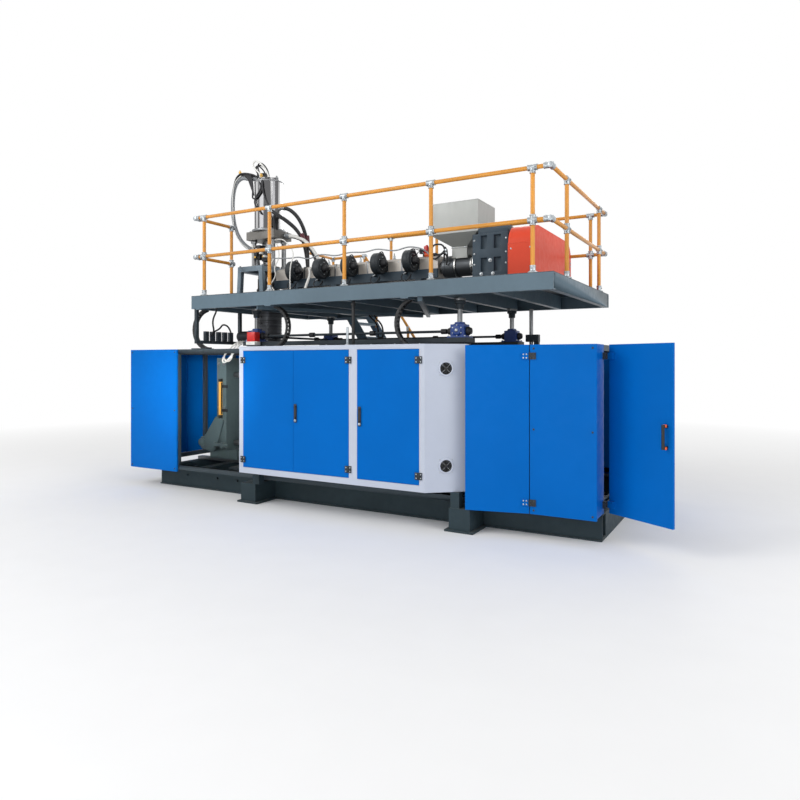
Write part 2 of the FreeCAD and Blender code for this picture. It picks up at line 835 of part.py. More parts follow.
hinges = []
for level in ("hinge_low", "hinge_high"):
    low = f"{level} - hinge_leaf / 2"
    knuckle = rod(f"knuckle_{level}", "z", (DOOR_AXIS[0], DOOR_AXIS[1], low), "hinge_pin", "hinge_leaf")
    across = (f"{DOOR_LINE} + panel_gap", f"{DOOR_LINE} + hinge_leaf")
    deep = (DOOR_AXIS[1], "guard_front_pos")
    leaf = leaf_plate(f"leaf_{level}", level, across, deep)
    hinges.append(plus(f"hinge_{level}", [knuckle, leaf]))

END_AXIS = (f"{HALF_LENGTH} + hinge_thick + end_hinge_reach", END_DOOR_LINE, "0")
END_FACE = "-(hinge_thick + end_hinge_reach)"
end_pan = pan("end_door_pan", "(end_door_width - panel_gap)", END_HEIGHT)
end_pan.Placement = FreeCAD.Placement(Vector(), Rotation(Vector(0, 0, 1), 90))
move(end_pan, END_FACE, "panel_gap / 2", END_SILL)
end_parts = [end_pan]
for level in ("hinge_low", "hinge_high"):
    beyond = (KNUCKLE, f"{KNUCKLE} + hinge_leaf")
    end_parts.append(leaf_plate(f"end_leaf_{level}", level, (END_FACE, "0"), beyond))
    low = f"{level} - hinge_leaf / 2"
    knuckle = rod(f"end_knuckle_{level}", "z", (END_AXIS[0], END_AXIS[1], low), "hinge_pin", "hinge_leaf")
    deep = (f"{END_DOOR_LINE} - hinge_leaf", END_DOOR_LINE)
    seat = leaf_plate(f"end_seat_{level}", level, (HALF_LENGTH, END_AXIS[0]), deep)
    hinges.append(plus(f"end_hinge_{level}", [knuckle, seat]))
hung("end_door", end_parts, END_AXIS, "-end_door_swing")
group("guard_hinges", hinges)

handle_y = "(end_door_width - handle_inset)"
grip_x = f"({END_FACE} + handle_reach)"
grip = rod("grip", "z", (grip_x, handle_y, "handle_low"), "handle_bar", "handle_high - handle_low")
grip_parts = [grip]
for name, low in (("low", "handle_low"), ("high", "handle_high - 2 * handle_bar")):
    stand = (END_FACE, grip_x), (f"{handle_y} - handle_bar", f"{handle_y} + handle_bar")
    grip_parts.append(block(f"grip_{name}", *stand, (low, f"{low} + 2 * handle_bar")))
hung("end_door_handle", [plus("handle_bow", grip_parts)], END_AXIS, "-end_door_swing")

# ---------------------------------------------------------------- control cabinet

CABINET_RIGHT = "(cabinet_left_pos + cabinet_width)"
CORNER = (
    "(cabinet_left_pos + cabinet_width + chamfer_width)",
    "(cabinet_front_pos + chamfer_width * tan(chamfer_angle))",
)
plan = [("cabinet_left_pos", "cabinet_front_pos"), (CABINET_RIGHT, "cabinet_front_pos"), CORNER]
plan += [(CORNER[0], CABINET_BACK), ("cabinet_left_pos", CABINET_BACK)]
shell = doc.addObject("PartDesign::Body", "cabinet_box")
pad(
    shell,
    outline(sketch_on(shell, "cabinet_plan", level="cabinet_sill"), plan),
    "cabinet_top - cabinet_sill",
)

WALL = "cabinet_wall"
INNER_BACK = f"{CABINET_BACK} - {WALL}"
INNER_FRONT = f"cabinet_front_pos + {WALL}"
SIDE = ("(divider_pos - divider_width / 2)", "(divider_pos + divider_width / 2)")
slant = "tan(chamfer_angle)"
corner_out = f"{WALL} * (1 / cos(chamfer_angle) - 1) / {slant}"
bays = sketch_on(shell, "cabinet_bays", level=f"cabinet_sill + {WALL}")
outline(bays, rectangle((f"cabinet_left_pos + {WALL}", SIDE[0]), (INNER_FRONT, INNER_BACK)))
right_bay = [(SIDE[1], INNER_FRONT), (f"{CABINET_RIGHT} - {corner_out}", INNER_FRONT)]
right_bay += [(f"{CORNER[0]} - {WALL}", f"{CORNER[1]} - {WALL} * {slant} + {WALL} / cos(chamfer_angle)")]
right_bay += [(f"{CORNER[0]} - {WALL}", INNER_BACK), (SIDE[1], INNER_BACK)]
outline(bays, right_bay)
pocket(shell, bays, f"cabinet_top - cabinet_sill - 2 * {WALL}", "cabinet_hollow", turned=True)

LEFT_BAY = ("(cabinet_left_pos + cabinet_margin)", SIDE[0])
RIGHT_BAY = (SIDE[1], f"({CABINET_RIGHT} - cabinet_margin)")
DOORWAY = ("cabinet_door_sill - panel_gap", "cabinet_door_top + panel_gap")
doorways = sketch_on(shell, "cabinet_doorways", "XZ_Plane", level=f"-({INNER_FRONT})")
for bay in (LEFT_BAY, RIGHT_BAY):
    outline(doorways, rectangle(bay, DOORWAY))
pocket(shell, doorways, "2 * cabinet_wall", "cabinet_openings", turned=True)

turn = math.radians(size("chamfer_angle"))
outward = Vector(math.sin(turn), -math.cos(turn), 0)
CHAMFER_MIDDLE = Vector(
    size(f"({CABINET_RIGHT} + {CORNER[0]}) / 2"), size(f"(cabinet_front_pos + {CORNER[1]}) / 2"), 0
)


def on_chamfer(level, out):
    return CHAMFER_MIDDLE + Vector(0, 0, size(level)) + outward * size(out)


def chamfer_rod(name, level, radius, start, length):
    place = on_chamfer(level, start)
    return shaped(name, Part.makeCylinder(size(radius), size(length), place, outward))


vents = [chamfer_rod(f"vent_{i}", level, "fan_bore", f"-2 * {WALL}", f"3 * {WALL}")
         for i, level in enumerate(("fan_low", "fan_high"))]
keep("cabinet_shell", minus("cabinet_vented", shell, vents))

# ---------------------------------------------------------------- cabinet fans, plates and doors

CHAMFER_TURN = Rotation(Vector(0, 0, 1), outward)


def fan_guard(level):
    """A ring on the chamfer with an X of bars, whose hub carries the axle."""
    thick, plate, length = size("fan_thick"), size("fan_plate"), size("fan_axle_length")
    up, front = Vector(0, 0, 1), Vector(0, 0, thick - plate)
    disc = sided_face(Vector(), up, size("fan_ring"), "round_sides").extrude(up * thick)
    ring = disc.cut(Part.makeCylinder(size("fan_bore"), thick))
    pieces = [
        Part.makeCylinder(size("fan_axle"), length, Vector(0, 0, thick - plate - length)),
        sided_face(front, up, thick, "tube_sides").extrude(up * plate),
    ]
    reach, bar = size("fan_bore + fan_bar"), size("fan_bar")
    for angle in (45, 135):
        arm = Part.makeBox(2 * reach, bar, plate, front - Vector(reach, bar / 2, 0))
        arm.rotate(Vector(), up, angle)
        pieces.append(arm)
    guard = ring.fuse(pieces).removeSplitter()
    guard.Placement = FreeCAD.Placement(on_chamfer(level, "0"), CHAMFER_TURN)
    return guard


def fan_rotor():
    """A hub on the axle with pitched blades."""
    radius, length, thick = size("fan_hub"), size("fan_hub_length"), size("fan_blade_thick")
    hub = sided_face(
        Vector(0, 0, -length), Vector(0, 0, 1), radius, "round_sides"
    ).extrude(Vector(0, 0, length))
    blades = []
    for i in range(SIZES["fan_blades"]):
        corner = Vector(radius - thick, -size("fan_blade") / 2, -thick / 2)
        blade = Part.makeBox(size("fan_bore") - radius - thick, size("fan_blade"), thick, corner)
        blade.rotate(Vector(), Vector(1, 0, 0), size("fan_pitch"))
        blade.translate(Vector(0, 0, -length / 2))
        blade.rotate(Vector(), Vector(0, 0, 1), i * 360 / SIZES["fan_blades"])
        blades.append(blade)
    bore = Part.makeCylinder(size("fan_axle + running_gap"), 3 * length, Vector(0, 0, -2 * length))
    return hub.fuse(blades).cut(bore).removeSplitter()


rings = [shaped(f"ring_{level}", fan_guard(level)) for level in ("fan_low", "fan_high")]
group("fan_guards", rings)
for level in ("fan_low", "fan_high"):
    rotor = shaped(f"{level}_rotor", fan_rotor())
    rotor.Placement = FreeCAD.Placement(on_chamfer(level, "0"), CHAMFER_TURN)
    keep(f"{level}_rotor", rotor)

back_face = (f"{INNER_BACK} - mount_plate", INNER_BACK)
tall = ("cabinet_door_sill", "cabinet_door_top")
plates = [
    block("plate_left", (f"cabinet_left_pos + 2 * {WALL}", f"{SIDE[0]} - {WALL}"), back_face, tall),
    block("plate_right", (f"{SIDE[1]} + {WALL}", RIGHT_BAY[1]), back_face, tall),
]
group("cabinet_plates", plates)

CABINET_AXIS = "(cabinet_front_pos - door_proud - hinge_thick)"
LEAF_HEIGHT = "(cabinet_door_top - cabinet_door_sill)"
LEFT_LEAF = f"(({LEFT_BAY[1]} - {LEFT_BAY[0]}) / 2)"
RIGHT_LEAF = f"({RIGHT_BAY[1]} - {RIGHT_BAY[0]})"
cabinet_doors = {
    "left": (LEFT_BAY[0], 1, LEFT_LEAF),
    "centre": (LEFT_BAY[1], -1, LEFT_LEAF),
    "right": (RIGHT_BAY[1], -1, RIGHT_LEAF),
}


def towards(side, near, far):
    """The span from near to far along +X, or its mirror image."""
    return (near, far) if side > 0 else (f"-({far})", f"-({near})")


cabinet_hinges = []
for name, (line, side, width) in cabinet_doors.items():
    leaf = pan(f"cabinet_door_{name}_pan", f"({width} - panel_gap)", LEAF_HEIGHT)
    start = "panel_gap / 2" if side > 0 else f"panel_gap / 2 - {width}"
    parts = [move(leaf, start, "hinge_thick", "cabinet_door_sill")]
    for level in ("cabinet_hinge_low", "cabinet_hinge_high"):
        span = (f"{level} - cabinet_hinge / 2", f"{level} + cabinet_hinge / 2")
        moving = towards(side, KNUCKLE, f"{KNUCKLE} + cabinet_hinge / 2")
        parts.append(block(f"{name}_{level}_moving", moving, ("0", "hinge_thick"), span))
        near, far = towards(-side, "panel_gap", "cabinet_hinge / 2")
        still = (f"{line} + {near}", f"{line} + {far}")
        seat = block(f"{name}_{level}_still", still, (CABINET_AXIS, "cabinet_front_pos"), span)
        pin = rod(f"{name}_{level}_pin", "z", (line, CABINET_AXIS, span[0]), "hinge_pin", "cabinet_hinge")
        cabinet_hinges.append(plus(f"{name}_{level}", [seat, pin]))
    hung(f"cabinet_door_{name}", parts, (line, CABINET_AXIS, "0"), "0")
group("cabinet_hinges", cabinet_hinges)

LOCK_FACE = "(cabinet_front_pos - door_proud - running_gap)"
lock_lines = {
    "centre": f"({LEFT_BAY[0]} + {LEFT_LEAF} + lock_inset)",
    "right": f"({RIGHT_BAY[0]} + lock_inset)",
}
for name, line in lock_lines.items():
    low = "(lock_height - lock_length / 2)"
    wide = (f"{line} - lock_width / 2", f"{line} + lock_width / 2")
    lever = block(
        f"lever_{name}", wide, (f"{LOCK_FACE} - lock_thick", LOCK_FACE), (low, f"{low} + lock_length")
    )
    proud = f"{LOCK_FACE} - 1.5 * lock_thick"
    button = "lock_width / 2.4"
    barrel = tube(f"barrel_{name}", "y", (line, proud, f"{low} + lock_width / 2"), button, "lock_thick")
    pivot = rod(
        f"pivot_{name}", "y", (line, proud, f"{low} + lock_length - lock_width / 2"), button, "lock_thick"
    )
    keep(f"lock_{name}", plus(f"lock_{name}_solid", [lever, barrel, pivot]))

# ---------------------------------------------------------------- platform

DECK_UNDER = "(platform_floor + platform_height - deck_thick)"
DECK = "(platform_floor + platform_height)"
BEAM_HEIGHT = "(platform_height - deck_thick)"
INSIDE = "(platform_half - deck_beam)"
BAY_PITCH = "((platform_length - deck_beam) / deck_bays)"

front_beam = channel("platform_front", 1, "deck_beam", BEAM_HEIGHT, "beam_wall", "platform_length")
rear_beam = channel("platform_rear", -1, "deck_beam", BEAM_HEIGHT, "beam_wall", "platform_length")
beams = [
    move(front_beam, "platform_left_pos", "-platform_half", "platform_floor"),
    move(rear_beam, "platform_left_pos", "platform_half", "platform_floor"),
]
for i in range(SIZES["deck_bays"] + 1):
    left = f"platform_left_pos + {i} * {BAY_PITCH}"
    across = (left, f"{left} + deck_beam")
    beams.append(
        block(f"platform_cross_{i}", across, (f"-{INSIDE}", INSIDE), ("platform_floor", DECK_UNDER))
    )


def brace(name, start, end):
    """A flat brace under the platform, between two points in plan."""
    a, b = (Vector(size(x), size(y), size("platform_floor - brace_height")) for x, y in (start, end))
    run = b - a
    bar = Part.makeBox(
        run.Length, size("brace_width"), size("brace_height"), Vector(0, -size("brace_width") / 2, 0)
    )
    feature = shaped(name, bar)
    feature.Placement = FreeCAD.Placement(a, Rotation(Vector(1, 0, 0), run))
    return feature


PEAK = "(jack_left_pos + jack_right_pos) / 2"
braces = [
    brace("brace_left", ("jack_left_pos + brace_offset", f"-{INSIDE}"), (f"{PEAK} - brace_width", INSIDE)),
    brace(
        "brace_right", (f"{PEAK} + brace_width", INSIDE), ("jack_right_pos - brace_offset", f"-{INSIDE}")
    ),
]
for name, (top, _, _) in CHAINS.items():
    across = (f"{top} - chain_bracket / 2", f"{top} + chain_bracket / 2")
    beams.append(
        block(
            f"chain_hanger_{name}", across, ("-platform_half", CHAIN_REACH), (CHAIN_TOP, "platform_floor")
        )
    )
group("platform_beams", beams + braces)

HEAD_HOLE = ("(clamp_pos - head_radius - head_room)", "(clamp_pos + head_radius + head_room)")
deck = []
for i in range(SIZES["deck_bays"]):
    left = f"platform_left_pos + {i} * platform_length / deck_bays"
    across = (left, f"{left} + platform_length / deck_bays")
    plate = block(f"deck_{i}", across, ("-platform_half", "platform_half"), (DECK_UNDER, DECK))
    if i == 0:
        deep = ("-head_radius - head_room", "head_radius + head_room")
        hole = block("deck_hole", HEAD_HOLE, deep, (f"{DECK_UNDER} - deck_thick", f"{DECK} + deck_thick"))
        plate = minus("deck_head_bay", plate, [hole])
    deck.append(plate)
group("platform_deck", deck)

# ---------------------------------------------------------------- railing

RAIL_LEVELS = {"mid": f"({DECK} + rail_mid)", "top": f"({DECK} + rail_height)"}
RAIL_FRONT = "(rail_inset - platform_half)"
RAIL_REAR = "(platform_half - rail_inset)"
RAIL_LEFT = "(platform_left_pos + rail_corner)"
RAIL_RIGHT = "(platform_right_pos - rail_corner)"
POST_ONE = "(platform_left_pos + rail_first)"

rail_posts = {}
REAR_FIRST = SIZES["post_count"] - SIZES["rear_post_count"]
for row, line, first in (("front", RAIL_FRONT, 0), ("rear", RAIL_REAR, REAR_FIRST)):
    for i in range(first, SIZES["post_count"]):
        rail_posts[f"{row}_{i}"] = (f"({POST_ONE} + {i} * rail_pitch)", line, "x")
rail_posts["stair"] = ("rear_rail_left_pos", RAIL_REAR, "x")
rail_posts["left"] = (RAIL_LEFT, "left_post_pos", "y")
rail_posts["right_front"] = (RAIL_RIGHT, "right_post_pos", "y")
rail_posts["right_rear"] = (RAIL_RIGHT, "rear_post_pos", "y")

rails, collars, posts, post_feet = [], [], [], []
for level, height in RAIL_LEVELS.items():
    runs = {
        "front": ("x", (RAIL_LEFT, RAIL_FRONT), f"{RAIL_RIGHT} - {RAIL_LEFT}"),
        "rear": ("x", ("rear_rail_left_pos", RAIL_REAR), f"{RAIL_RIGHT} - rear_rail_left_pos"),
        "left": (
            "y", (RAIL_LEFT, f"{RAIL_FRONT} + rail_radius"), f"left_post_pos - {RAIL_FRONT} - rail_radius"
        ),
        "right": (
            "y",
            (RAIL_RIGHT, f"{RAIL_FRONT} + rail_radius"),
            f"{RAIL_REAR} - {RAIL_FRONT} - 2 * rail_radius",
        ),
    }
    for name, (axis, (x, y), length) in runs.items():
        rails.append(tube(f"rail_{name}_{level}", axis, (x, y, height), "rail_radius", length))
    for name, (x, y, axis) in rail_posts.items():
        back = "collar_length / 2"
        start = (f"{x} - {back}", y, height) if axis == "x" else (x, f"{y} - {back}", height)
        collars.append(tube(f"collar_{name}_{level}", axis, start, "collar_radius", "collar_length"))
    corners = {"fl": (RAIL_LEFT, RAIL_FRONT), "fr": (RAIL_RIGHT, RAIL_FRONT), "rr": (RAIL_RIGHT, RAIL_REAR)}
    for name, (x, y) in corners.items():
        elbow = (x, y, f"{height} - collar_radius")
        collars.append(tube(f"elbow_{name}_{level}", "z", elbow, "collar_radius", "2 * collar_radius"))
for name, (x, y, axis) in rail_posts.items():
    foot = (x, y, f"{DECK} + post_foot_thick")
    posts.append(tube(f"post_{name}", "z", foot, "rail_radius", "rail_height - post_foot_thick"))
    post_feet.append(tube(f"foot_disc_{name}", "z", (x, y, DECK), "post_foot_radius", "post_foot_thick"))


def bundle(name, members):
    """Members held together for one boolean."""
    compound = doc.addObject("Part::Compound", name)
    compound.Links = members
    return compound


fittings = bundle("fittings", collars)
tubes = [
    minus("cut_rails", bundle("rails", rails), [fittings]),
    minus("cut_posts", bundle("posts", posts), [fittings]),
]
group("railing_tubes", tubes)
group("railing_fittings", [fittings] + post_feet)

# ---------------------------------------------------------------- lifting jacks

JACKS = {
    f"{end}_{row}": (f"jack_{end}_pos", f"{side} * jack_half")
    for end in ("left", "right")
    for row, side in (("front", -1), ("rear", 1))
}
BOX_LOW = "(jack_seat + jack_plate)"
SHAFT_HEIGHT = f"({BOX_LOW} + jack_box_height / 2)"
columns, seats, boxes, screws = [], [], [], []


def around(centre, width):
    return f"{centre} - ({width}) / 2", f"{centre} + ({width}) / 2"


for name, (x, y) in JACKS.items():
    columns.append(block(f"sole_{name}", around(x, "sole_length"), around(y, "jack_plate_width"),
                         ("base_height", "base_height + sole_thick")))
    rise = ("base_height + sole_thick", "jack_seat")
    for face, shift in (("near", -1), ("far", 1)):
        middle = f"{y} + {shift} * (column_width - column_plate) / 2"
        columns.append(
            block(f"column_{name}_{face}", around(x, "column_width"), around(middle, "column_plate"), rise)
        )
    web = (f"{x} + column_width / 2 - column_plate", f"{x} + column_width / 2")
    columns.append(block(f"column_{name}_web", web, around(y, "column_width - 2 * column_plate"), rise))
    plate = block(
        f"seat_{name}", around(x, "jack_plate_width"), around(y, "jack_plate_width"), ("jack_seat", BOX_LOW)
    )
    through = (x, y, "jack_seat - jack_plate")
    bore = rod(
        f"seat_bore_{name}", "z", through, "jack_screw + running_gap", "jack_plate * 4 + jack_box_height"
    )
    seats.append(minus(f"jack_seat_{name}", plate, [bore]))
    case = block(
        f"case_{name}",
        around(x, "jack_box"),
        around(y, "jack_box"),
        (BOX_LOW, f"{BOX_LOW} + jack_box_height"),
    )
    nose = drum(
        f"nose_{name}", "z", (x, y, f"{BOX_LOW} + jack_box_height"), "jack_box * 0.36", "jack_flange_thick"
    )
    boxes.append(minus(f"jack_box_{name}", plus(f"jack_case_{name}", [case, nose]), [bore]))
    flange_low = "(platform_floor - jack_flange_thick)"
    screw_low = f"({BOX_LOW} - jack_tail)"
    screw = drum(f"screw_{name}", "z", (x, y, screw_low), "jack_screw", f"{flange_low} - {screw_low}")
    flange = drum(f"flange_{name}", "z", (x, y, flange_low), "jack_flange", "jack_flange_thick")
    screws += [screw, flange]
for row, side in (("front", -1), ("rear", 1)):
    y = f"{side} * jack_half"
    span = ("jack_left_pos + jack_plate_width / 2", "jack_right_pos - jack_plate_width / 2")
    seats.append(block(f"tie_beam_{row}", span, around(y, "column_width / 2"), ("jack_seat", BOX_LOW)))
group("jack_gearboxes", boxes)

shafts = []
for row, side in (("front", -1), ("rear", 1)):
    y = f"{side} * jack_half"
    start = "jack_left_pos + jack_box / 2"
    shafts.append(tube(f"shaft_{row}", "x", (start, y, SHAFT_HEIGHT), "shaft_radius",
                       "jack_right_pos - jack_left_pos - jack_box"))
cross = ("jack_left_pos", "jack_box / 2 - jack_half", SHAFT_HEIGHT)
shafts.append(tube("shaft_cross", "y", cross, "shaft_radius", "2 * jack_half - jack_box"))
lift_motor = ("jack_left_pos - jack_box / 2 - lift_motor_length", "-jack_half", SHAFT_HEIGHT)
shafts.append(drum("lift_motor", "x", lift_motor, "lift_motor_radius", "lift_motor_length"))
group("jack_drive", shafts)

guide = ("guide_pos", "guide_depth")
bush_low = "(jack_seat + jack_plate)"
bush = block(
    "bush_block", ("guide_pos - guide_post", "guide_pos + 1.7 * guide_post"),
    around("guide_depth", "guide_post * 1.4"), (bush_low, f"{bush_low} + guide_post * 1.5"),
)
bush_bore = rod(
    "bush_bore", "z", (*guide, f"{bush_low} - guide_post"), "guide_radius + running_gap", "guide_post * 4"
)
guide_column = block("guide_column", ("guide_pos + 0.7 * guide_post", "guide_pos + 1.7 * guide_post"),
                     around("guide_depth", "guide_post"), ("base_height", bush_low))
group("jack_columns", columns + seats + [minus("guide_bush", bush, [bush_bore]), guide_column])
guide_low = f"({bush_low} - lift_travel)"
guide_bar = drum("guide_bar", "z", (*guide, guide_low), "guide_radius", f"platform_floor - {guide_low}")
group("jack_screws", screws + [guide_bar])

# ---------------------------------------------------------------- clamp

TRACK_TOP = "(base_height + track_height)"
tracks = []
for name, side in (("front", -1), ("rear", 1)):
    deep = around(f"{side} * track_half", "track_width")
    tracks.append(
        block(f"track_{name}", (f"-{HALF_LENGTH}", "cross_width / 2"), deep, ("base_height", TRACK_TOP))
    )
group("clamp_tracks", tracks)

TIES = {f"{row}_{level}": (f"{side} * tie_half", f"tie_{level}")
        for row, side in (("front", -1), ("rear", 1)) for level in ("low", "high")}
RUN_BORE = "(tie_radius + running_gap)"
INNER = {-1: "(clamp_pos - daylight / 2)", 1: "(clamp_pos + daylight / 2)"}
OUTER = {-1: "(clamp_pos - daylight / 2 - platen_thick)", 1: "(clamp_pos + daylight / 2 + platen_thick)"}
ORDER = {-1: lambda a, b: (b, a), 1: lambda a, b: (a, b)}


def tie_holes(name, left, right, radius, heights=("low", "high")):
    """Cylinders along X for the tie bars, a little longer than the plate they bore."""
    holes = []
    for key, (y, z) in TIES.items():
        if key.split("_")[1] in heights:
            start = (f"({left}) - 1", y, z)
            holes.append(rod(f"{name}_{key}", "x", start, radius, f"({right}) - ({left}) + 2"))
    return holes


def platen(label, side, radius):
    """A mould plate on gussets that stand on a sole, bored for the tie bars."""
    span = ORDER[side](INNER[side], OUTER[side])
    plate = block(f"{label}_plate", span, ("-platen_half", "platen_half"), ("platen_floor", "platen_top"))
    pieces = [minus(f"{label}_bored", plate, tie_holes(f"{label}_hole", *span, radius))]
    heel = f"({OUTER[side]} + {side} * gusset_depth)"
    sole = ORDER[side](OUTER[side], heel)
    sole_top = "(platen_floor + gusset_thick)"
    pieces.append(block(f"{label}_sole", sole, ("-platen_half", "platen_half"), ("platen_floor", sole_top)))
    end = ORDER[side](f"{heel} - {side} * gusset_thick", heel)
    toe = block(f"{label}_toe", end, ("-platen_half", "platen_half"), (sole_top, "tie_low + tie_nut"))
    pieces.append(minus(f"{label}_toe_bored", toe, tie_holes(f"{label}_toe_hole", *end, radius, ("low",))))
    reach = f"{side} * (gusset_depth - gusset_thick)"
    for i, y in enumerate(("-gusset_half", "0", "gusset_half")):
        web = doc.addObject("PartDesign::Body", f"{label}_gusset_{i}")
        slope = [
            ("0", "0"),
            (reach, "0"),
            (reach, f"tie_low + tie_nut - {sole_top}"),
            ("0", f"gusset_top - {sole_top}"),
        ]
        face = outline(sketch_on(web, f"{label}_gusset_{i}_face", "XZ_Plane"), slope)
        pad(web, face, "gusset_thick", f"{label}_gusset_{i}_pad")
        pieces.append(move(web, OUTER[side], f"{y} + gusset_thick / 2", sole_top))
    for name, row in (("front", -1), ("rear", 1)):
        near = f"{INNER[side]} - {side} * shoe_overhang"
        shoe = ORDER[side](near, f"{near} + {side} * shoe_length")
        low = f"{TRACK_TOP} + foot_clearance"
        deep = around(f"{row} * track_half", "shoe_width")
        pieces.append(block(f"{label}_shoe_{name}", shoe, deep, (low, "platen_floor")))
    group(label, pieces)


platen("left_platen", -1, "tie_radius")
platen("right_platen", 1, RUN_BORE)

REAR_PLATEN = ("rear_platen_pos", "(rear_platen_pos + rear_platen_thick)")
ROD_HEIGHT = "((tie_low + tie_high) / 2)"
rear_plate = block(
    "rear_plate", REAR_PLATEN, ("-platen_half", "platen_half"), ("platen_floor", "platen_top")
)
rear_holes = tie_holes("rear_hole", *REAR_PLATEN, "tie_radius")
gland = rod(
    "rod_hole",
    "x",
    ("rear_platen_pos - 1", "0", ROD_HEIGHT),
    "clamp_rod + running_gap",
    "rear_platen_thick + 2",
)
rear_parts = [minus("rear_plate_bored", rear_plate, rear_holes + [gland])]
for name, row in (("front", -1), ("rear", 1)):
    low = f"{TRACK_TOP} + foot_clearance"
    shoe = around("rear_platen_pos + rear_platen_thick / 2", "rear_platen_thick * 2")
    rear_parts.append(
        block(f"rear_shoe_{name}", shoe, around(f"{row} * track_half", "shoe_width"), (low, "platen_floor"))
    )

CYLINDER_LENGTH = "(2 * clamp_opening + 2 * clamp_closing + clamp_rod + rod_engaged)"
can = drum(
    "clamp_can", "x", (REAR_PLATEN[1], "0", ROD_HEIGHT), "clamp_bore", f"{CYLINDER_LENGTH} + clamp_rod"
)
hollow = rod(
    "clamp_hollow",
    "x",
    (f"{REAR_PLATEN[1]} - 1", "0", ROD_HEIGHT),
    "clamp_rod + running_gap",
    CYLINDER_LENGTH,
)
group("rear_platen", rear_parts + [minus("clamp_cylinder", can, [hollow])])
rod_start = OUTER[1]
rod_end = f"({REAR_PLATEN[1]} + 2 * clamp_closing + clamp_rod)"
keep(
    "clamp_piston_rod",
    rod("piston_rod", "x", (rod_start, "0", ROD_HEIGHT), "clamp_rod", f"{rod_end} - {rod_start}"),
)

tie_bars = []
for key, (y, z) in TIES.items():
    low_tie = key.endswith("low")
    seat = f"({OUTER[-1]} - gusset_depth)" if low_tie else OUTER[-1]
    tie_bars.append(rod(f"tie_{key}", "x", (seat, y, z), "tie_radius", f"{REAR_PLATEN[1]} - {seat}"))
    for end, start in (("left", f"{seat} - tie_nut_length"), ("right", REAR_PLATEN[1])):
        tie_bars.append(tube(f"nut_{end}_{key}", "x", (start, y, z), "tie_nut", "tie_nut_length"))
group("tie_bars", tie_bars)

curtain_x = around(f"({INNER[-1]} + {OUTER[-1]}) / 2", "curtain_width")
curtain_y = ("-platen_half - curtain_width", "-platen_half")
keep(
    "light_curtain", block("curtain", curtain_x, curtain_y, ("curtain_low", "curtain_low + curtain_length"))
)

# ---------------------------------------------------------------- die head and its stand

LEG_HEIGHT = f"(stand_top - stand_beam - {DECK})"
stand = []
for end, side in (("left", -1), ("right", 1)):
    foot, head = f"{side} * stand_foot_width / 2", f"{side} * stand_head_width / 2"
    profile = [
        (foot, "0"),
        (f"{foot} - {side} * stand_leg", "0"),
        (f"{head} - {side} * stand_leg", LEG_HEIGHT),
        (head, LEG_HEIGHT),
    ]
    for row, back in (("front", "stand_leg - stand_half"), ("rear", "stand_half")):
        leg = doc.addObject("PartDesign::Body", f"stand_leg_{end}_{row}")
        pad(
            leg,
            outline(sketch_on(leg, f"leg_{end}_{row}_face", "XZ_Plane"), profile),
            "stand_leg",
            f"leg_{end}_{row}_pad",
        )
        stand.append(move(leg, "clamp_pos", back, DECK))
STAND_SPAN = around("clamp_pos", "stand_head_width")
stand.append(
    block("stand_table", STAND_SPAN, ("-stand_half", "stand_half"), ("stand_top - stand_beam", "stand_top"))
)
group("head_stand", stand)

HEAD_TOP = "stand_top - stand_beam"
head_profile = [
    ("0", "die_low"), ("die_radius", "die_low"), ("die_radius", "die_low + die_lip"),
    ("head_throat", "head_low - die_taper"), ("head_throat", "head_low"), ("head_radius", "head_low"),
    ("head_radius", "head_band_top"), (
        "head_neck", "head_band_top"
    ), ("head_neck", HEAD_TOP), ("0", HEAD_TOP),
]
head = doc.addObject("PartDesign::Body", "head_turned")
half = outline(sketch_on(head, "head_half", "XZ_Plane"), head_profile)
turned = head.newObject("PartDesign::Revolution", "head_revolved")
turned.Profile = half
turned.ReferenceAxis = (half, ["V_Axis"])
turned.Angle = 360
move(head, "clamp_pos")
adapter = rod("head_adapter", "x", ("clamp_pos", "0", "axis_height"), "adapter_radius", "adapter_reach")
keep("die_head", plus("die_head_solid", [head, adapter]))

head_columns = []
for i, (sx, sy) in enumerate(((-1, -1), (1, -1), (1, 1), (-1, 1))):
    x = f"clamp_pos + {sx} * (head_plate_length / 2 - column_inset)"
    y = f"{sy} * (head_plate_width / 2 - column_inset)"
    head_columns.append(
        drum(f"head_column_{i}", "z", (x, y, "stand_top"), "head_column", "head_plate_low - stand_top")
    )
head_columns.append(
    drum("head_ram", "z", ("clamp_pos", "0", "stand_top"), "ram_radius", "head_plate_low - stand_top")
)
group("head_columns", head_columns)

PLATE_TOP = "(head_plate_low + head_plate_thick)"
plate_span = around("clamp_pos", "head_plate_length")
keep(
    "head_top_plate",
    block("top_plate", plate_span, around("0", "head_plate_width"), ("head_plate_low", PLATE_TOP)),
)
CAP_LOW = f"({PLATE_TOP} + cylinder_length)"
barrel_can = rod("cylinder_can", "z", ("clamp_pos", "0", PLATE_TOP), "cylinder_radius", "cylinder_length")
cap = drum("cylinder_cap", "z", ("clamp_pos", "0", CAP_LOW), "cap_radius", "cap_height")
keep("pushout_cylinder", plus("pushout_solid", [barrel_can, cap]))
CAP_TOP = f"({CAP_LOW} + cap_height)"
MANIFOLD_LEFT = "(clamp_pos - manifold_length - cap_height)"
manifold_span = (MANIFOLD_LEFT, f"{MANIFOLD_LEFT} + manifold_length")
manifold_rise = (CAP_TOP, f"{CAP_TOP} + manifold_height")
keep("head_manifold", block("manifold_block", manifold_span, around("0", "manifold_width"), manifold_rise))

# ---------------------------------------------------------------- extruder

BARREL_START = "(clamp_pos + adapter_reach)"
keep("extruder_barrel", rod("barrel", "x", (BARREL_START, "0", "axis_height"), "barrel_radius",
                            f"throat_left_pos - {BARREL_START}"))

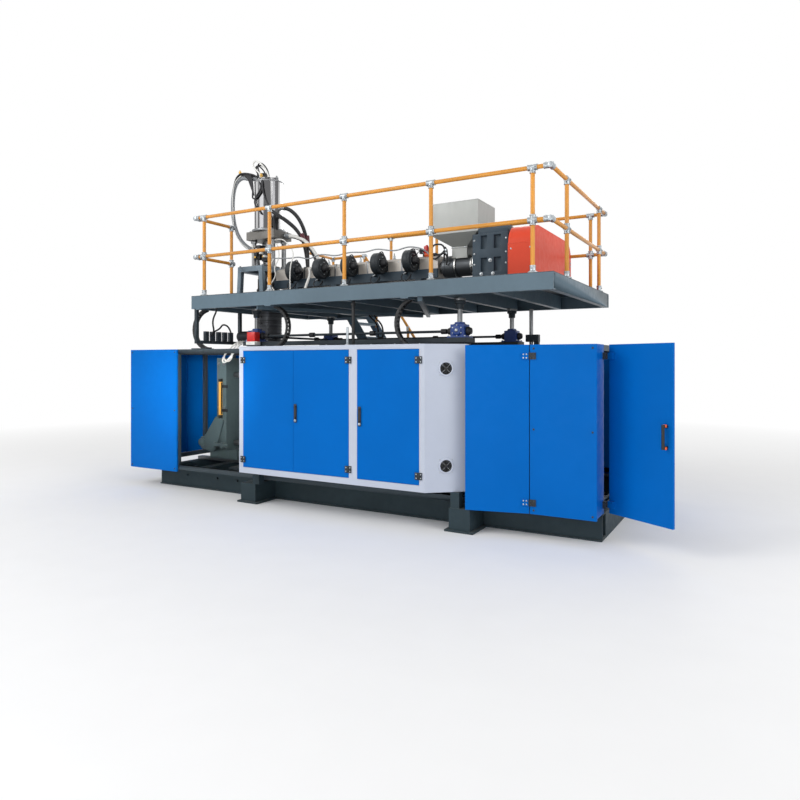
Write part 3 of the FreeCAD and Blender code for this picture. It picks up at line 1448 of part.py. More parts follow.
ZONE = "(shroud_length / zone_count)"
shrouds = []
for i in range(SIZES["zone_count"]):
    cover = doc.addObject("PartDesign::Body", f"shroud_{i}")
    section = sketch_on(cover, f"shroud_{i}_section", "YZ_Plane")
    edge = "(shroud_half * 0.75)"
    slope = "(shroud_top - shroud_half * 0.25)"
    low_edge = [("-shroud_half", "shroud_floor"), ("shroud_half", "shroud_floor")]
    shoulders = [("shroud_half", slope), (edge, "shroud_top")]
    shoulders += [(f"-{edge}", "shroud_top"), ("-shroud_half", slope)]
    outline(section, low_edge + shoulders)
    circle(section, ("0", "axis_height"), "barrel_radius + running_gap")
    pad(cover, section, f"{ZONE} - shroud_gap", f"shroud_{i}_pad")
    shrouds.append(move(cover, f"shroud_left_pos + {i} * {ZONE}"))
group("heater_shrouds", shrouds)

CRADLE_LOW = "(shroud_floor - cradle_drop)"
CRADLE_TOP = f"({CRADLE_LOW} + cradle_height)"
cradle = []
cradle_span = ("shroud_left_pos", "shroud_left_pos + shroud_length")
cradle_half = "(shroud_half + cradle_gap + cradle_thick)"
for row, side in (("front", -1), ("rear", 1)):
    near, far = f"{side} * (shroud_half + cradle_gap)", f"{side} * {cradle_half}"
    deep = (far, near) if side < 0 else (near, far)
    cradle.append(block(f"cradle_{row}", cradle_span, deep, (CRADLE_LOW, CRADLE_TOP)))
for i in range(SIZES["cradle_legs"]):
    left = f"shroud_left_pos + cradle_first + {i} * shroud_length / cradle_legs"
    across = (left, f"{left} + cradle_leg")
    cradle.append(block(f"cradle_leg_{i}", across, (f"-{cradle_half}", cradle_half), (DECK, CRADLE_LOW)))
group("extruder_cradle", cradle)

blowers = []
BLOWER_Y = "(-shroud_half - blower_depth)"
for i in range(SIZES["zone_count"]):
    centre = f"(blower_first_pos + {i} * blower_pitch)"
    left = f"({centre} - blower_width / 2)"
    wheel = drum(f"wheel_{i}", "x", (left, BLOWER_Y, "blower_height"), "blower_radius", "blower_width")
    rise = (f"{CRADLE_TOP} + outlet_gap", f"{CRADLE_TOP} + outlet_gap + outlet_height")
    outlet = block(f"outlet_{i}", around(centre, "outlet_width"), (BLOWER_Y, "-shroud_half"), rise)
    can = drum(
        f"blower_motor_{i}",
        "x",
        (f"{left} + blower_width", BLOWER_Y, "blower_height"),
        "blower_motor",
        "blower_motor_length",
    )
    mouth = (f"{left} - inlet_depth", BLOWER_Y, "blower_height")
    inlet = drum(f"inlet_{i}", "x", mouth, "blower_radius * 0.5", "inlet_depth")
    blowers.append(plus(f"blower_{i}", [wheel, outlet, can, inlet]))
group("blowers", blowers)

THROAT_END = "(throat_left_pos + throat_length)"
throat = drum("throat_can", "x", ("throat_left_pos", "0", "axis_height"), "throat_radius", "throat_length")
collar = drum("throat_flange", "x", (THROAT_END, "0", "axis_height"), "flange_radius", "flange_thick")
neck = drum("throat_neck", "x", (f"{THROAT_END} + flange_thick", "0", "axis_height"), "neck_radius",
            f"gearbox_left_pos - {THROAT_END} - flange_thick")
keep("feed_throat", plus("feed_throat_solid", [throat, collar, neck]))

feed = block(
    "feed_block",
    around("hopper_pos", "feed_box"),
    around("0", "feed_box"),
    ("axis_height", "hopper_outlet"),
)
duct_width = "hopper_neck - 2 * hopper_wall"
duct_rise = ("axis_height - hopper_wall", "hopper_outlet + hopper_wall")
duct = block("feed_duct", around("hopper_pos", duct_width), around("0", duct_width), duct_rise)
saddle = drum("feed_saddle", "x", ("throat_left_pos", "0", "axis_height"), "throat_radius", "throat_length")
keep("feed_box", minus("feed_box_open", feed, [duct, saddle]))


def funnel(name, wall):
    """The hopper's outer or inner form: a straight bin on a four-sided cone."""
    spans = ("hopper_length", "hopper_width", "hopper_neck")
    half_x, half_y, half_neck = (f"{span} / 2 - {wall}" for span in spans)
    bin_top = f"hopper_top + {wall}"
    bin_x, bin_y = (f"hopper_pos - ({half_x})", f"hopper_pos + {half_x}"), (f"-({half_y})", half_y)
    bin_part = block(f"{name}_bin", bin_x, bin_y, ("hopper_shoulder", bin_top))
    cone = doc.addObject("Part::Wedge", f"{name}_cone")
    corners = {
        "Xmin": f"-({half_neck})", "Xmax": half_neck, "Zmin": f"-({half_neck})", "Zmax": half_neck,
        "X2min": f"-({half_x})", "X2max": half_x, "Z2min": f"-({half_y})", "Z2max": half_y,
        "Ymin": "0", "Ymax": "hopper_shoulder - hopper_outlet",
    }
    for side, text in corners.items():
        cone.setExpression(side, bound(text))
    cone.Placement = FreeCAD.Placement(Vector(), Rotation(Vector(1, 0, 0), 90))
    move(cone, "hopper_pos", "0", "hopper_outlet")
    return plus(f"{name}_form", [bin_part, cone])


keep("hopper", minus("hopper_shell", funnel("hopper_outer", "0"), [funnel("hopper_inner", "hopper_wall")]))

gearbox = doc.addObject("PartDesign::Body", "gearbox_body")
half, cut_z = "gearbox_half", "(gearbox_top - gearbox_chamfer)"
section = [(f"-{half}", DECK), (half, DECK), (half, cut_z), (f"{half} - gearbox_chamfer", "gearbox_top"),
           (f"gearbox_chamfer - {half}", "gearbox_top"), (f"-{half}", cut_z)]
pad(
    gearbox,
    outline(sketch_on(gearbox, "gearbox_section", "YZ_Plane"), section),
    "gearbox_length",
    "gearbox_pad",
)
recess = sketch_on(gearbox, "gearbox_recess", "XZ_Plane", level="gearbox_half")
LEVEL, MIDDLE = f"({DECK} + {cut_z}) / 2", "gearbox_length / 2"
for across in (("pocket_margin", f"{MIDDLE} - pocket_web / 2"),
               (f"{MIDDLE} + pocket_web / 2", "gearbox_length - pocket_margin")):
    for rise in ((f"{DECK} + pocket_margin", f"{LEVEL} - pocket_web / 2"),
                 (f"{LEVEL} + pocket_web / 2", f"{cut_z} - pocket_margin")):
        outline(recess, rectangle(across, rise))
pocket(gearbox, recess, "pocket_depth", "gearbox_pockets")
move(gearbox, "gearbox_left_pos")
keep("gearbox", gearbox)

GEARBOX_RIGHT = "(gearbox_left_pos + gearbox_length)"
coupling = drum(
    "input_coupling", "x", (GEARBOX_RIGHT, "0", "motor_height"), "coupling_radius", "coupling_length"
)

cover = doc.addObject("PartDesign::Body", "cover_body")
section = rectangle(("-cover_front", "cover_back"), (DECK, "cover_top"))
pad(cover, outline(sketch_on(cover, "cover_section", "YZ_Plane"), section), "cover_thick", "cover_pad")
doc.recompute()
crown = [
    f"Edge{i}" for i, edge in enumerate(cover.Tip.Shape.Edges, start=1)
    if edge.BoundBox.XLength > size("cover_thick") / 2 and edge.BoundBox.ZMin > size("cover_top") - 1
]
rounded = cover.newObject("PartDesign::Fillet", "cover_round")
rounded.Base = (cover.getObject("cover_pad"), crown)
rounded.setExpression("Radius", bound("cover_round"))
move(cover, "cover_left_pos")
keep("belt_guard", cover)

motor_line = ("motor_offset", "motor_height")
motor_can = drum(
    "motor_can", "x", ("cover_left_pos - motor_length", *motor_line), "motor_radius", "motor_length"
)
bells = [
    drum(f"motor_bell_{i}", "x", (start, *motor_line), "motor_bell", "motor_bell_length")
    for i, start in enumerate(("cover_left_pos - motor_length", "cover_left_pos - motor_bell_length"))
]
terminal = block(
    "motor_terminal", around("cover_left_pos - motor_length / 2", "motor_radius"),
    around("motor_offset", "motor_radius * 0.8"), ("motor_height", "motor_height + motor_radius * 1.35"),
)
base_feet = [
    block(
        f"motor_foot_{i}",
        (start, f"{start} + motor_foot"),
        around("motor_offset", "motor_radius * 1.7"),
        (DECK, "motor_height"),
    )
    for i, start in enumerate(
        (
            "cover_left_pos - motor_length + motor_bell_length",
            "cover_left_pos - motor_bell_length - motor_foot",
        )
    )
]
group("drive_motor", [plus("motor_solid", [motor_can, terminal] + bells + base_feet), coupling])

# ---------------------------------------------------------------- stair and landing

RUN = "(stair_foot_pos - stair_top_pos)"
LIFT = f"({DECK} - foot_clearance)"
TREAD_SLOPE = f"({LIFT} / {RUN})"
STRINGER_WIDTH = f"(stringer_depth * sqrt(1 + 1 / {TREAD_SLOPE} ^ 2))"
LANDING_RIGHT = f"(stair_top_pos - {STRINGER_WIDTH} / 2)"
stair = []
STRINGER_Y = ("(stair_inner_pos + stringer_thick)", "(stair_inner_pos + stair_width)")
for name, y in zip(("inner", "outer"), STRINGER_Y):
    body = doc.addObject("PartDesign::Body", f"stringer_{name}")
    side_face = [
        (f"stair_foot_pos - {STRINGER_WIDTH}", "foot_clearance"), ("stair_foot_pos", "foot_clearance"),
        ("stair_top_pos", DECK), (LANDING_RIGHT, DECK),
        (LANDING_RIGHT, f"{DECK} - {STRINGER_WIDTH} / 2 * {TREAD_SLOPE}"),
    ]
    pad(
        body,
        outline(sketch_on(body, f"stringer_{name}_face", "XZ_Plane"), side_face),
        "stringer_thick",
        f"stringer_{name}_pad",
    )
    stair.append(move(body, "0", y))
tread_span = (STRINGER_Y[0], f"{STRINGER_Y[1]} - stringer_thick")
for i in range(1, SIZES["step_count"] + 1):
    level = f"foot_clearance + {i} * {LIFT} / (step_count + 1)"
    middle = f"(stair_foot_pos - {STRINGER_WIDTH} / 2 - ({level} - foot_clearance) / {TREAD_SLOPE})"
    stair.append(
        block(f"tread_{i}", around(middle, "step_depth"), tread_span, (f"{level} - step_thick", level))
    )

LANDING_LOW = f"({DECK} - {STRINGER_WIDTH} / 2 * {TREAD_SLOPE})"
LANDING_REAR = "(stair_inner_pos + stair_width)"
landing = [
    block(
        "landing_plate",
        ("landing_left_pos", LANDING_RIGHT),
        ("platform_half", LANDING_REAR),
        (DECK_UNDER, DECK),
    ),
    block(
        "landing_beam_right",
        (f"{LANDING_RIGHT} - landing_beam", LANDING_RIGHT),
        ("platform_half", LANDING_REAR),
        (LANDING_LOW, DECK_UNDER),
    ),
    block(
        "landing_beam_left",
        ("landing_left_pos", "landing_left_pos + landing_beam"),
        ("platform_half", LANDING_REAR),
        (LANDING_LOW, DECK_UNDER),
    ),
    block("landing_beam_rear", ("landing_left_pos + landing_beam", f"{LANDING_RIGHT} - landing_beam"),
          (f"{LANDING_REAR} - landing_beam", LANDING_REAR), (LANDING_LOW, DECK_UNDER)),
]
group("stair", stair + landing)


def tube_between(name, start, end, radius):
    """A straight tube between two points given as expressions."""
    a, b = (Vector(*(size(text) for text in point)) for point in (start, end))
    return shaped(name, sided_face(a, b - a, size(radius), "tube_sides").extrude(b - a))


HAND_Y = f"({LANDING_REAR} + rail_radius)"
HAND_RUN = f"(stair_foot_pos - stringer_depth - {LANDING_RIGHT})"
HAND_TOP = f"({DECK} + handrail_rise)"
hand_top = (LANDING_RIGHT, HAND_Y, HAND_TOP)
hand_end = ("stair_foot_pos - stringer_depth", HAND_Y, f"({HAND_TOP} - {TREAD_SLOPE} * {HAND_RUN})")
hand_tubes = [tube_between("hand_slope", hand_top, hand_end, "rail_radius")]
hand_posts = []
for i, share in enumerate((0.12, 0.5, 0.88)):
    x = f"({LANDING_RIGHT} + {share} * {HAND_RUN})"
    line = f"({DECK} - {TREAD_SLOPE} * ({x} - stair_top_pos + {STRINGER_WIDTH} / 2))"
    rail_at = f"({HAND_TOP} - {TREAD_SLOPE} * ({x} - {LANDING_RIGHT}))"
    hand_posts.append(tube(f"hand_post_{i}", "z", (x, HAND_Y, line), "rail_radius", f"{rail_at} - {line}"))
landing_level = {"mid": "rail_mid", "top": "handrail_rise"}
corner_x = "(landing_left_pos - rail_radius)"
for name, x in (("corner", corner_x), ("end", f"({LANDING_RIGHT} - 2 * rail_radius)")):
    foot = (x, HAND_Y, LANDING_LOW)
    hand_posts.append(tube(f"landing_post_{name}", "z", foot, "rail_radius", f"{HAND_TOP} - {LANDING_LOW}"))
for level, rise in landing_level.items():
    z = f"({DECK} + {rise})"
    rear_run = f"{LANDING_RIGHT} - {corner_x} - rail_radius"
    hand_tubes.append(tube(f"landing_rear_{level}", "x", (corner_x, HAND_Y, z), "rail_radius", rear_run))
    side_start = (corner_x, "platform_half + rail_radius", z)
    side_run = f"{HAND_Y} - platform_half - 2 * rail_radius"
    hand_tubes.append(tube(f"landing_side_{level}", "y", side_start, "rail_radius", side_run))
hand_rails = bundle("hand_rails", hand_tubes)
group(
    "stair_handrails",
    [hand_rails, minus("hand_posts", bundle("hand_posts_whole", hand_posts), [hand_rails])],
)

# ---------------------------------------------------------------- valve rack, chains and hoses

RACK_X = around("rack_pos", "rack_bar")
rack = []
for name, y in (("front", "rack_front_pos"), ("back", "rack_back_pos")):
    rack.append(
        block(f"rack_post_{name}", RACK_X, around(y, "rack_bar"), ("rack_low + rack_bar", "platform_floor"))
    )
rack.append(
    block(
        "rack_beam",
        RACK_X,
        ("rack_front_pos - rack_bar / 2", "rack_back_pos + rack_bar / 2"),
        ("rack_low", "rack_low + rack_bar"),
    )
)
for i in range(SIZES["valve_count"]):
    step = f"(rack_back_pos - rack_front_pos - 3 * rack_bar) / (valve_count + 1)"
    middle = f"(rack_front_pos + 4 * rack_bar + {i} * {step})"
    rack.append(
        block(
            f"valve_{i}",
            RACK_X,
            around(middle, "valve_width"),
            ("rack_low + rack_bar", "rack_low + rack_bar + valve_height"),
        )
    )
group("valve_rack", rack)


def chain(name, top, bulge, bottom):
    """A bowed cable chain: a band of even thickness along the arc through three points in the XZ plane."""
    points = [Vector(size(x), 0, size(z)) for x, z in (top, bulge, bottom)]
    middle = Part.Arc(*points).toShape()
    hub, radius = middle.Curve.Center, middle.Curve.Radius
    arcs = []
    for shift in (-1, 1):
        factor = (radius + shift * size("chain_thick") / 2) / radius
        arcs.append([hub + (p - hub) * factor for p in points])
    inner, outer = arcs
    edges = [
        Part.Arc(*outer).toShape(),
        Part.makeLine(outer[2], inner[2]),
        Part.Arc(*inner[::-1]).toShape(),
        Part.makeLine(inner[0], outer[0]),
    ]
    band = Part.Face(Part.Wire(edges)).extrude(Vector(0, size("chain_width"), 0))
    high, low = points[0].z, points[2].z
    room = Part.makeBox(
        4 * radius, size("chain_width"), high - low, hub + Vector(-2 * radius, 0, low - hub.z)
    )
    feature = shaped(name, band.common(room))
    feature.Placement = FreeCAD.Placement(
        Vector(0, size("chain_depth_pos - chain_width / 2"), 0), Rotation()
    )
    return feature


CHAIN_MIDDLE = f"(({CHAIN_LOW} + {CHAIN_TOP}) / 2)"
chains = [
    chain(
        f"chain_{name}", (top, CHAIN_TOP), (f"{top} + {bow}", CHAIN_MIDDLE), (f"{top} + {sway}", CHAIN_LOW)
    )
    for name, (top, bow, sway) in CHAINS.items()
]
group("drag_chains", chains)


ARC_SHARE = 0.45


def hose(name, points, radius):
    """A hose along straight runs joined by the largest tangent arcs, made by carrying its section along."""
    points = [Vector(*(size(text) for text in point)) for point in points]
    section = sided_face(points[0], points[1] - points[0], size(radius), "tube_sides")
    last, pieces = points[0], []
    for before, here, after in zip(points, points[1:], points[2:]):
        back, ahead = before - here, after - here
        reach = ARC_SHARE * min(back.Length, ahead.Length)
        turn = math.pi - back.getAngle(ahead)
        bend = reach / math.tan(turn / 2)
        start, end = here + back.normalize() * reach, here + ahead.normalize() * reach
        hub = here + (back + ahead).normalize() * (bend / math.cos(turn / 2))
        axis, angle = ahead.cross(back), math.degrees(turn)
        pieces.append(section.extrude(start - last))
        section = section.translated(start - last)
        pieces.append(section.revolve(hub, axis, angle))
        section = section.rotated(hub, axis, angle)
        last = end
    pieces.append(section.extrude(points[-1] - last))
    return shaped(name, pieces[0].fuse(pieces[1:]))


CONDUIT_SHAPE = [
    (0, 0), (0.29, 0), (0.71, 1), (1, -0.08), (1, -0.44), (0.66, -0.69), (0.03, -0.81), (0.03, -1),
]
CONDUIT_LEVEL = f"({CAP_TOP} + manifold_height / 2)"
conduit_route = []
for u, v in CONDUIT_SHAPE:
    swing = "conduit_rise" if v > 0 else f"({CONDUIT_LEVEL} - stand_top)"
    conduit_route.append(
        (f"{MANIFOLD_LEFT} - {u} * conduit_reach", "0", f"{CONDUIT_LEVEL} + {v} * {swing}")
    )
keep("conduit", hose("conduit_tube", conduit_route, "conduit_radius"))

HOSE_SHAPE = [(0, 0, 1), (0.22, 0, 1), (0.62, 0.3, 0.9), (0.9, 0.75, 0.62), (1, 1, 0.3), (1, 1, 0)]
HOSE_DROP = f"(head_plate_low + head_plate_thick / 2 - {DECK})"
HEAD_PLATE_RIGHT = "(clamp_pos + head_plate_length / 2)"
hoses = []
for name in ("front", "rear"):
    route = [
        (
            f"{HEAD_PLATE_RIGHT} + {u} * hose_{name}_bow",
            f"hose_{name} + {v} * {cradle_half}",
            f"{DECK} + {w} * {HOSE_DROP}",
        )
        for u, v, w in HOSE_SHAPE
    ]
    hoses.append(hose(f"head_hose_{name}", route, "hose_radius"))
group("head_hoses", hoses)

LOOP_SHAPE = [(0, 0), (0, 0.24), (0.5, 0.82), (0.84, 1), (1, 0.78), (0.72, 0.4), (0.48, 0.25), (0.48, 0)]
LOOP_Y = "-(manifold_width / 2 + 3 * loop_radius)"
loop_route = [
    (f"clamp_pos + cap_height - {u} * loop_reach", LOOP_Y, f"{CAP_TOP} + {v} * loop_rise")
    for u, v in LOOP_SHAPE
]
keep("head_loop", hose("head_loop_tube", loop_route, "loop_radius"))

# ---------------------------------------------------------------- checks and files

doc.recompute()
for thing in doc.Objects:
    for state in ("Invalid", "Error"):
        if state in thing.State:
            raise ValueError(f"{thing.Name} is {state}")
labels = [node.Label for node in nodes]
if len(set(labels)) != len(labels):
    raise ValueError("two sub-parts share a label")
os.makedirs("parts", exist_ok=True)
for node in nodes:
    if node.Shape.isNull() or not node.Shape.isValid() or not node.Shape.Solids:
        raise ValueError(f"{node.Label} has no valid solid")
for node in nodes:
    node.Shape.exportStep(f"parts/{node.Label}.step")
print(len(nodes), "sub-parts written")
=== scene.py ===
"""Looks of the blow moulding machine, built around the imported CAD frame."""

import itertools
import json
import math
import random

import bmesh
import bpy
from mathutils import Matrix, Vector


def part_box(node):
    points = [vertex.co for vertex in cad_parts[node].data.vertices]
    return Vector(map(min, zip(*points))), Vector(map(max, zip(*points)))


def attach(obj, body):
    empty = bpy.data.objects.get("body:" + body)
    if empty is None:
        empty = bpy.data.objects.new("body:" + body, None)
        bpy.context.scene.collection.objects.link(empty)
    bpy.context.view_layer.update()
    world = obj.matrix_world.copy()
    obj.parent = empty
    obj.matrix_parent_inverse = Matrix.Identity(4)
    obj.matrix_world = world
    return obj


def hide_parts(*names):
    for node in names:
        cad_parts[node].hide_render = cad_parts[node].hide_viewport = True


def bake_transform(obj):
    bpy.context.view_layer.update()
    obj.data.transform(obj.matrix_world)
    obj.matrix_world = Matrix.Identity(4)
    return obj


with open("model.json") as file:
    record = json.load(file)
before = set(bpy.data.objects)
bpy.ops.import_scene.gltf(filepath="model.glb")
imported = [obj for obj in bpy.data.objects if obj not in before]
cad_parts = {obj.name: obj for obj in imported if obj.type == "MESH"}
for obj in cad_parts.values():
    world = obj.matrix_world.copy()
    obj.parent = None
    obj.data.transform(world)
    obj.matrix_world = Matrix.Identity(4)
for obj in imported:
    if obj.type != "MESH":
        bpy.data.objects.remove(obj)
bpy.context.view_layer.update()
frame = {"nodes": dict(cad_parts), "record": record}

X, Y, Z = Vector((1, 0, 0)), Vector((0, 1, 0)), Vector((0, 0, 1))
MM = 0.001
WHITE = (1, 1, 1, 1)


def mm(text):
    """Numbers in millimetres as text, commas between points: a list of points in metres."""
    return [tuple(float(number) * MM for number in spot.split()) for spot in text.split(",")]


def spokes(count, first=0, a=Y, b=Z):
    """Unit vectors at even angles round an axis, from the first angle in degrees."""
    for k in range(count):
        angle = math.radians(first + 360 / count * k)
        yield a * math.cos(angle) + b * math.sin(angle)


# ---- finishes

# slot and colour; metallic, roughness, coat, mirroring; spread of tone, grains per metre, their depth in mm; their
# stretch along x, y, z; colour and amount of worn edges
# in the chrome row, the spread of tone and the stretch along z set painted reflection streaks, light and dark
FINISHES = """
base_paint  43 57 63  0 .55 0 .2  .16 90 .5  1 1 1  120 122 120 .55
steel  132 134 136  .9 .36 0 .5  .2 60 .1  1 1 .06  215 215 215 .3
frame_grey  60 70 76  0 .5 0 .2  .14 90 .4  1 1 1  125 128 128 .5
guard_blue  0 100 185  0 .42 0 .05  .05 420 .12  1 1 1  60 140 210 .2
black_paint  44 50 55  0 .45 0 .3  .2 160 .2  1 1 1  90 90 90 .4
cabinet_white  186 193 207  0 .4 0 .3  .04 420 .1  1 1 1  170 170 176 .2
zinc_plate  190 186 160  .75 .38 0 .5  .14 45 .1  1 1 1  220 218 200 .2
black_plastic  24 25 27  0 .5 0 .5  .12 600 .1  1 1 1  70 70 72 .3
dark_grey  50 58 64  .1 .48 0 .25  .18 120 .3  1 1 1  110 112 114 .5
jack_blue  16 60 134  0 .42 .1 .5  .14 150 .3  1 1 1  110 130 170 .5
platform_grey  91 110 122  0 .42 0 .25  .12 110 .35  1 1 1  165 172 176 .5
rail_yellow  216 148 58  0 .32 .1 .35  .18 200 .12  1 1 1  205 175 110 .4
fitting_silver  168 174 178  .85 .38 0 .5  .2 180 .4  1 1 1  230 230 230 .4
chrome  150 150 152  1 .2 0 .5  .55 40 .03  1 1 .02  225 225 225 .1
shroud_cream  198 192 184  .25 .42 0 .5  .1 70 .2  .2 1 1  225 222 215 .4
hopper_grey  172 175 172  .1 .42 0 .5  .06 60 .15  1 1 .3  220 220 218 .3
gearbox_slate  60 75 87  0 .48 0 .25  .16 140 .6  1 1 1  120 124 130 .5
guard_orange  228 76 48  0 .4 0 .25  .08 300 .15  1 1 1  240 140 110 .35
conduit_grey  150 154 158  .2 .42 0 .5  .14 200 .1  1 1 1  195 197 199 .4
rubber_black  28 29 33  0 .58 0 .5  .2 300 .2  1 1 1  70 70 74 .3
curtain_yellow  232 176 84  0 .32 .2 .5  .08 300 .1  1 1 1  240 220 130 .3
hose_white  226 226 222  0 .4 .1 .5  .06 300 .1  1 1 1  200 198 190 .3
signal_red  205 26 22  0 .38 .15 .5  .1 200 .15  1 1 1  225 120 100 .4
valve_orange  236 92 26  0 .4 .1 .5  .1 200 .15  1 1 1  240 150 110 .4
polished  190 190 188  1 .22 0 .5  .14 60 .05  1 1 1  240 240 240 .2
throat_dark  74 78 82  .55 .34 0 .5  .25 70 .15  .08 1 1  150 150 150 .5
stand_steel  112 128 140  .45 .42 0 .5  .3 60 .25  1 1 .15  170 170 168 .6
plate_steel  112 110 106  .5 .42 0 .5  .32 60 .25  .15 .15 1  190 186 180 .6
head_steel  84 86 90  .75 .36 0 .5  .3 60 .1  1 1 .1  170 170 170 .4
sleeve_red  92 30 42  0 .55 0 .5  .2 300 .2  1 1 1  150 90 90 .4
clamp_grey  88 104 106  0 .5 0 .25  .16 120 .4  1 1 1  150 154 152 .5
deck_plate  44 54 62  .2 .5 0 .5  .2 150 .4  1 1 1  120 124 126 .5
brass  196 158 86  .9 .32 0 .5  .12 150 .1  1 1 1  230 205 150 .3
"""


def linear(*colour):
    """Display colour from 0 to 255 as scene-linear RGBA."""
    steps = [c / 255 for c in colour]
    return [s / 12.92 if s <= 0.04045 else ((s + 0.055) / 1.055) ** 2.4 for s in steps] + [1.0]


class Graph:
    """The node tree of a material or a world, one call for each node."""

    def __init__(self, owner):
        owner.use_nodes = True
        self.nodes, self.links = owner.node_tree.nodes, owner.node_tree.links
        self.nodes.clear()

    def add(self, kind, inputs=(), **settings):
        node = self.nodes.new(f"ShaderNode{kind}")
        for key, value in settings.items():
            setattr(node, key, value)
        for key, value in dict(inputs).items():
            if isinstance(value, bpy.types.NodeSocket):
                self.links.new(value, node.inputs[key])
            else:
                node.inputs[key].default_value = value
        return node

    def math(self, operation, a, b):
        return self.add("Math", {0: a, 1: b}, operation=operation).outputs[0]

    def mix(self, share, a, b):
        return self.add("Mix", {0: share, 6: a, 7: b}, data_type="RGBA").outputs[2]

    def noise(self, vector, scale, detail=4.0):
        return self.add("TexNoise", {"Vector": vector, "Scale": scale, "Detail": detail}).outputs["Fac"]

    def ranged(self, value, low, high, to_low=0.0, to_high=1.0):
        return self.add("MapRange", {0: value, 1: low, 2: high, 3: to_low, 4: to_high}).outputs[0]

    def seen(self):
        """One for what the eye meets, straight, mirrored or through glass, and zero for light on the part."""
        rays = self.add("LightPath").outputs
        looked = self.math("MAXIMUM", rays["Is Camera Ray"], rays["Is Glossy Ray"])
        return self.math("MAXIMUM", looked, rays["Is Transmission Ray"])


def finish_of(slot_name, numbers):
    """Painted, cast, plated or moulded surface with drifting tone, grain, dust on top and worn edges; on chrome,
    painted reflection streaks.
    """
    metallic, rough, coat, mirroring, spread, grain, depth = numbers[3:10]
    stretch, worn, wear = numbers[10:13], numbers[13:16], numbers[16]
    chrome = slot_name == "chrome"
    material = bpy.data.materials.new(slot_name)
    g = Graph(material)
    place = g.add("TexCoord").outputs["Object"]
    drawn = g.add("Mapping", {"Vector": place, "Scale": stretch}).outputs[0]
    cloud = g.noise(place, 1.6, 5.0)
    # stretched noise: the mottle of the tone on every finish, and the painted reflection streaks on chrome
    mottle_and_painted_reflections = g.noise(drawn, 9.0 if chrome else 17.0, 3.0)
    fine = g.noise(drawn, grain, 2.0)
    base = linear(*numbers[:3])
    deep = [c * (1 - spread) for c in base[:3]] + [1.0]
    pale = [min(1.0, c * (1 + spread)) for c in base[:3]] + [1.0]
    tone = g.mix(g.ranged(cloud, 0.3, 0.7), deep, pale)
    # chrome: light and dark streaks along z between the deep tone and near-white are painted reflections of the
    # surroundings
    if chrome:
        tone = g.mix(g.ranged(mottle_and_painted_reflections, 0.44, 0.56), deep, linear(250, 250, 250))
    else:
        tone = g.mix(g.ranged(mottle_and_painted_reflections, 0.35, 0.75, 0.0, 0.35), tone, deep)
    facing = g.add("NewGeometry").outputs["Normal"]
    upward = g.add("SeparateXYZ", {0: facing}).outputs[2]
    dust = g.math("MULTIPLY", g.ranged(upward, 0.55, 0.95, 0.0, 0.16), g.ranged(mottle_and_painted_reflections, 0.3, 0.7))
    tone = g.mix(dust, tone, linear(168, 164, 156))
    rounded = g.add("Bevel", {"Radius": 0.004}, samples=4).outputs[0]
    bend = g.add("VectorMath", {0: rounded, 1: facing}, operation="DOT_PRODUCT")
    edge = g.ranged(bend.outputs["Value"], 0.985, 0.9)
    patchy = g.ranged(g.noise(place, 38.0, 3.0), 0.45, 0.62, 0.0, wear)
    tone = g.mix(g.math("MULTIPLY", edge, patchy), tone, linear(*worn))
    sheen = g.ranged(mottle_and_painted_reflections, 0.25, 0.75, max(0.05, rough - 0.07), min(1.0, rough + 0.09))
    relief = g.add("Bump", {"Height": fine, "Strength": 0.35, "Distance": depth * MM}).outputs[0]
    shader = g.add("BsdfPrincipled", {
        "Base Color": tone, "Roughness": sheen, "Normal": relief, "Metallic": metallic, "Coat Weight": coat,
        "Coat Roughness": 0.25, "Specular IOR Level": mirroring})
    g.add("OutputMaterial", {0: shader.outputs[0]})
    return material


MATERIALS = {}
for row in FINISHES.strip().splitlines():
    slot_name, *numbers = row.split()
    MATERIALS[slot_name] = finish_of(slot_name, [float(number) for number in numbers])
SUBPARTS = frame["record"]["subparts"]


# ---- CAD nodes

def smooth_group():
    """Geometry nodes: smooth faces, with edges above the angle kept sharp."""
    tree = bpy.data.node_groups.new("smooth_by_angle", "GeometryNodeTree")
    for way in ("INPUT", "OUTPUT"):
        tree.interface.new_socket("Geometry", in_out=way, socket_type="NodeSocketGeometry")
    start, end, bend, over, faces, edges = (tree.nodes.new(kind) for kind in (
        "NodeGroupInput", "NodeGroupOutput", "GeometryNodeInputMeshEdgeAngle", "FunctionNodeCompare",
        "GeometryNodeSetShadeSmooth", "GeometryNodeSetShadeSmooth"))
    over.operation = "GREATER_THAN"
    over.inputs[1].default_value = math.radians(34)
    edges.domain = "EDGE"
    edges.inputs["Shade Smooth"].default_value = False
    for source, node, socket in ((start, faces, 0), (faces, edges, 0), (bend, over, 0),
                                 (over, edges, "Selection"), (edges, end, 0)):
        tree.links.new(source.outputs[0], node.inputs[socket])
    return tree


SMOOTH = smooth_group()
ROUND_CAD = {"hopper", "conduit", "head_hoses", "railing_tubes", "die_head"}


def soften(thing, width, angle):
    """Edges sharper than the angle broken to a width, and smooth shading."""
    if width:
        bevel = thing.modifiers.new("broken_edges", "BEVEL")
        bevel.width, bevel.segments = width, 2
        bevel.limit_method, bevel.angle_limit = "ANGLE", math.radians(angle)
    thing.modifiers.new("smooth", "NODES").node_group = SMOOTH


def dress(node_name, slot_name):
    """Gives a CAD node its finish and small broken edges."""
    thing = frame["nodes"][node_name]
    thing.data.materials.clear()
    thing.data.materials.append(MATERIALS[slot_name])
    thing.modifiers.new("weld", "WELD").merge_threshold = 0.02 * MM
    soften(thing, 0 if node_name in ROUND_CAD else 1.8 * MM, 50)
    thing.modifiers.new("faces", "WEIGHTED_NORMAL").keep_sharp = True


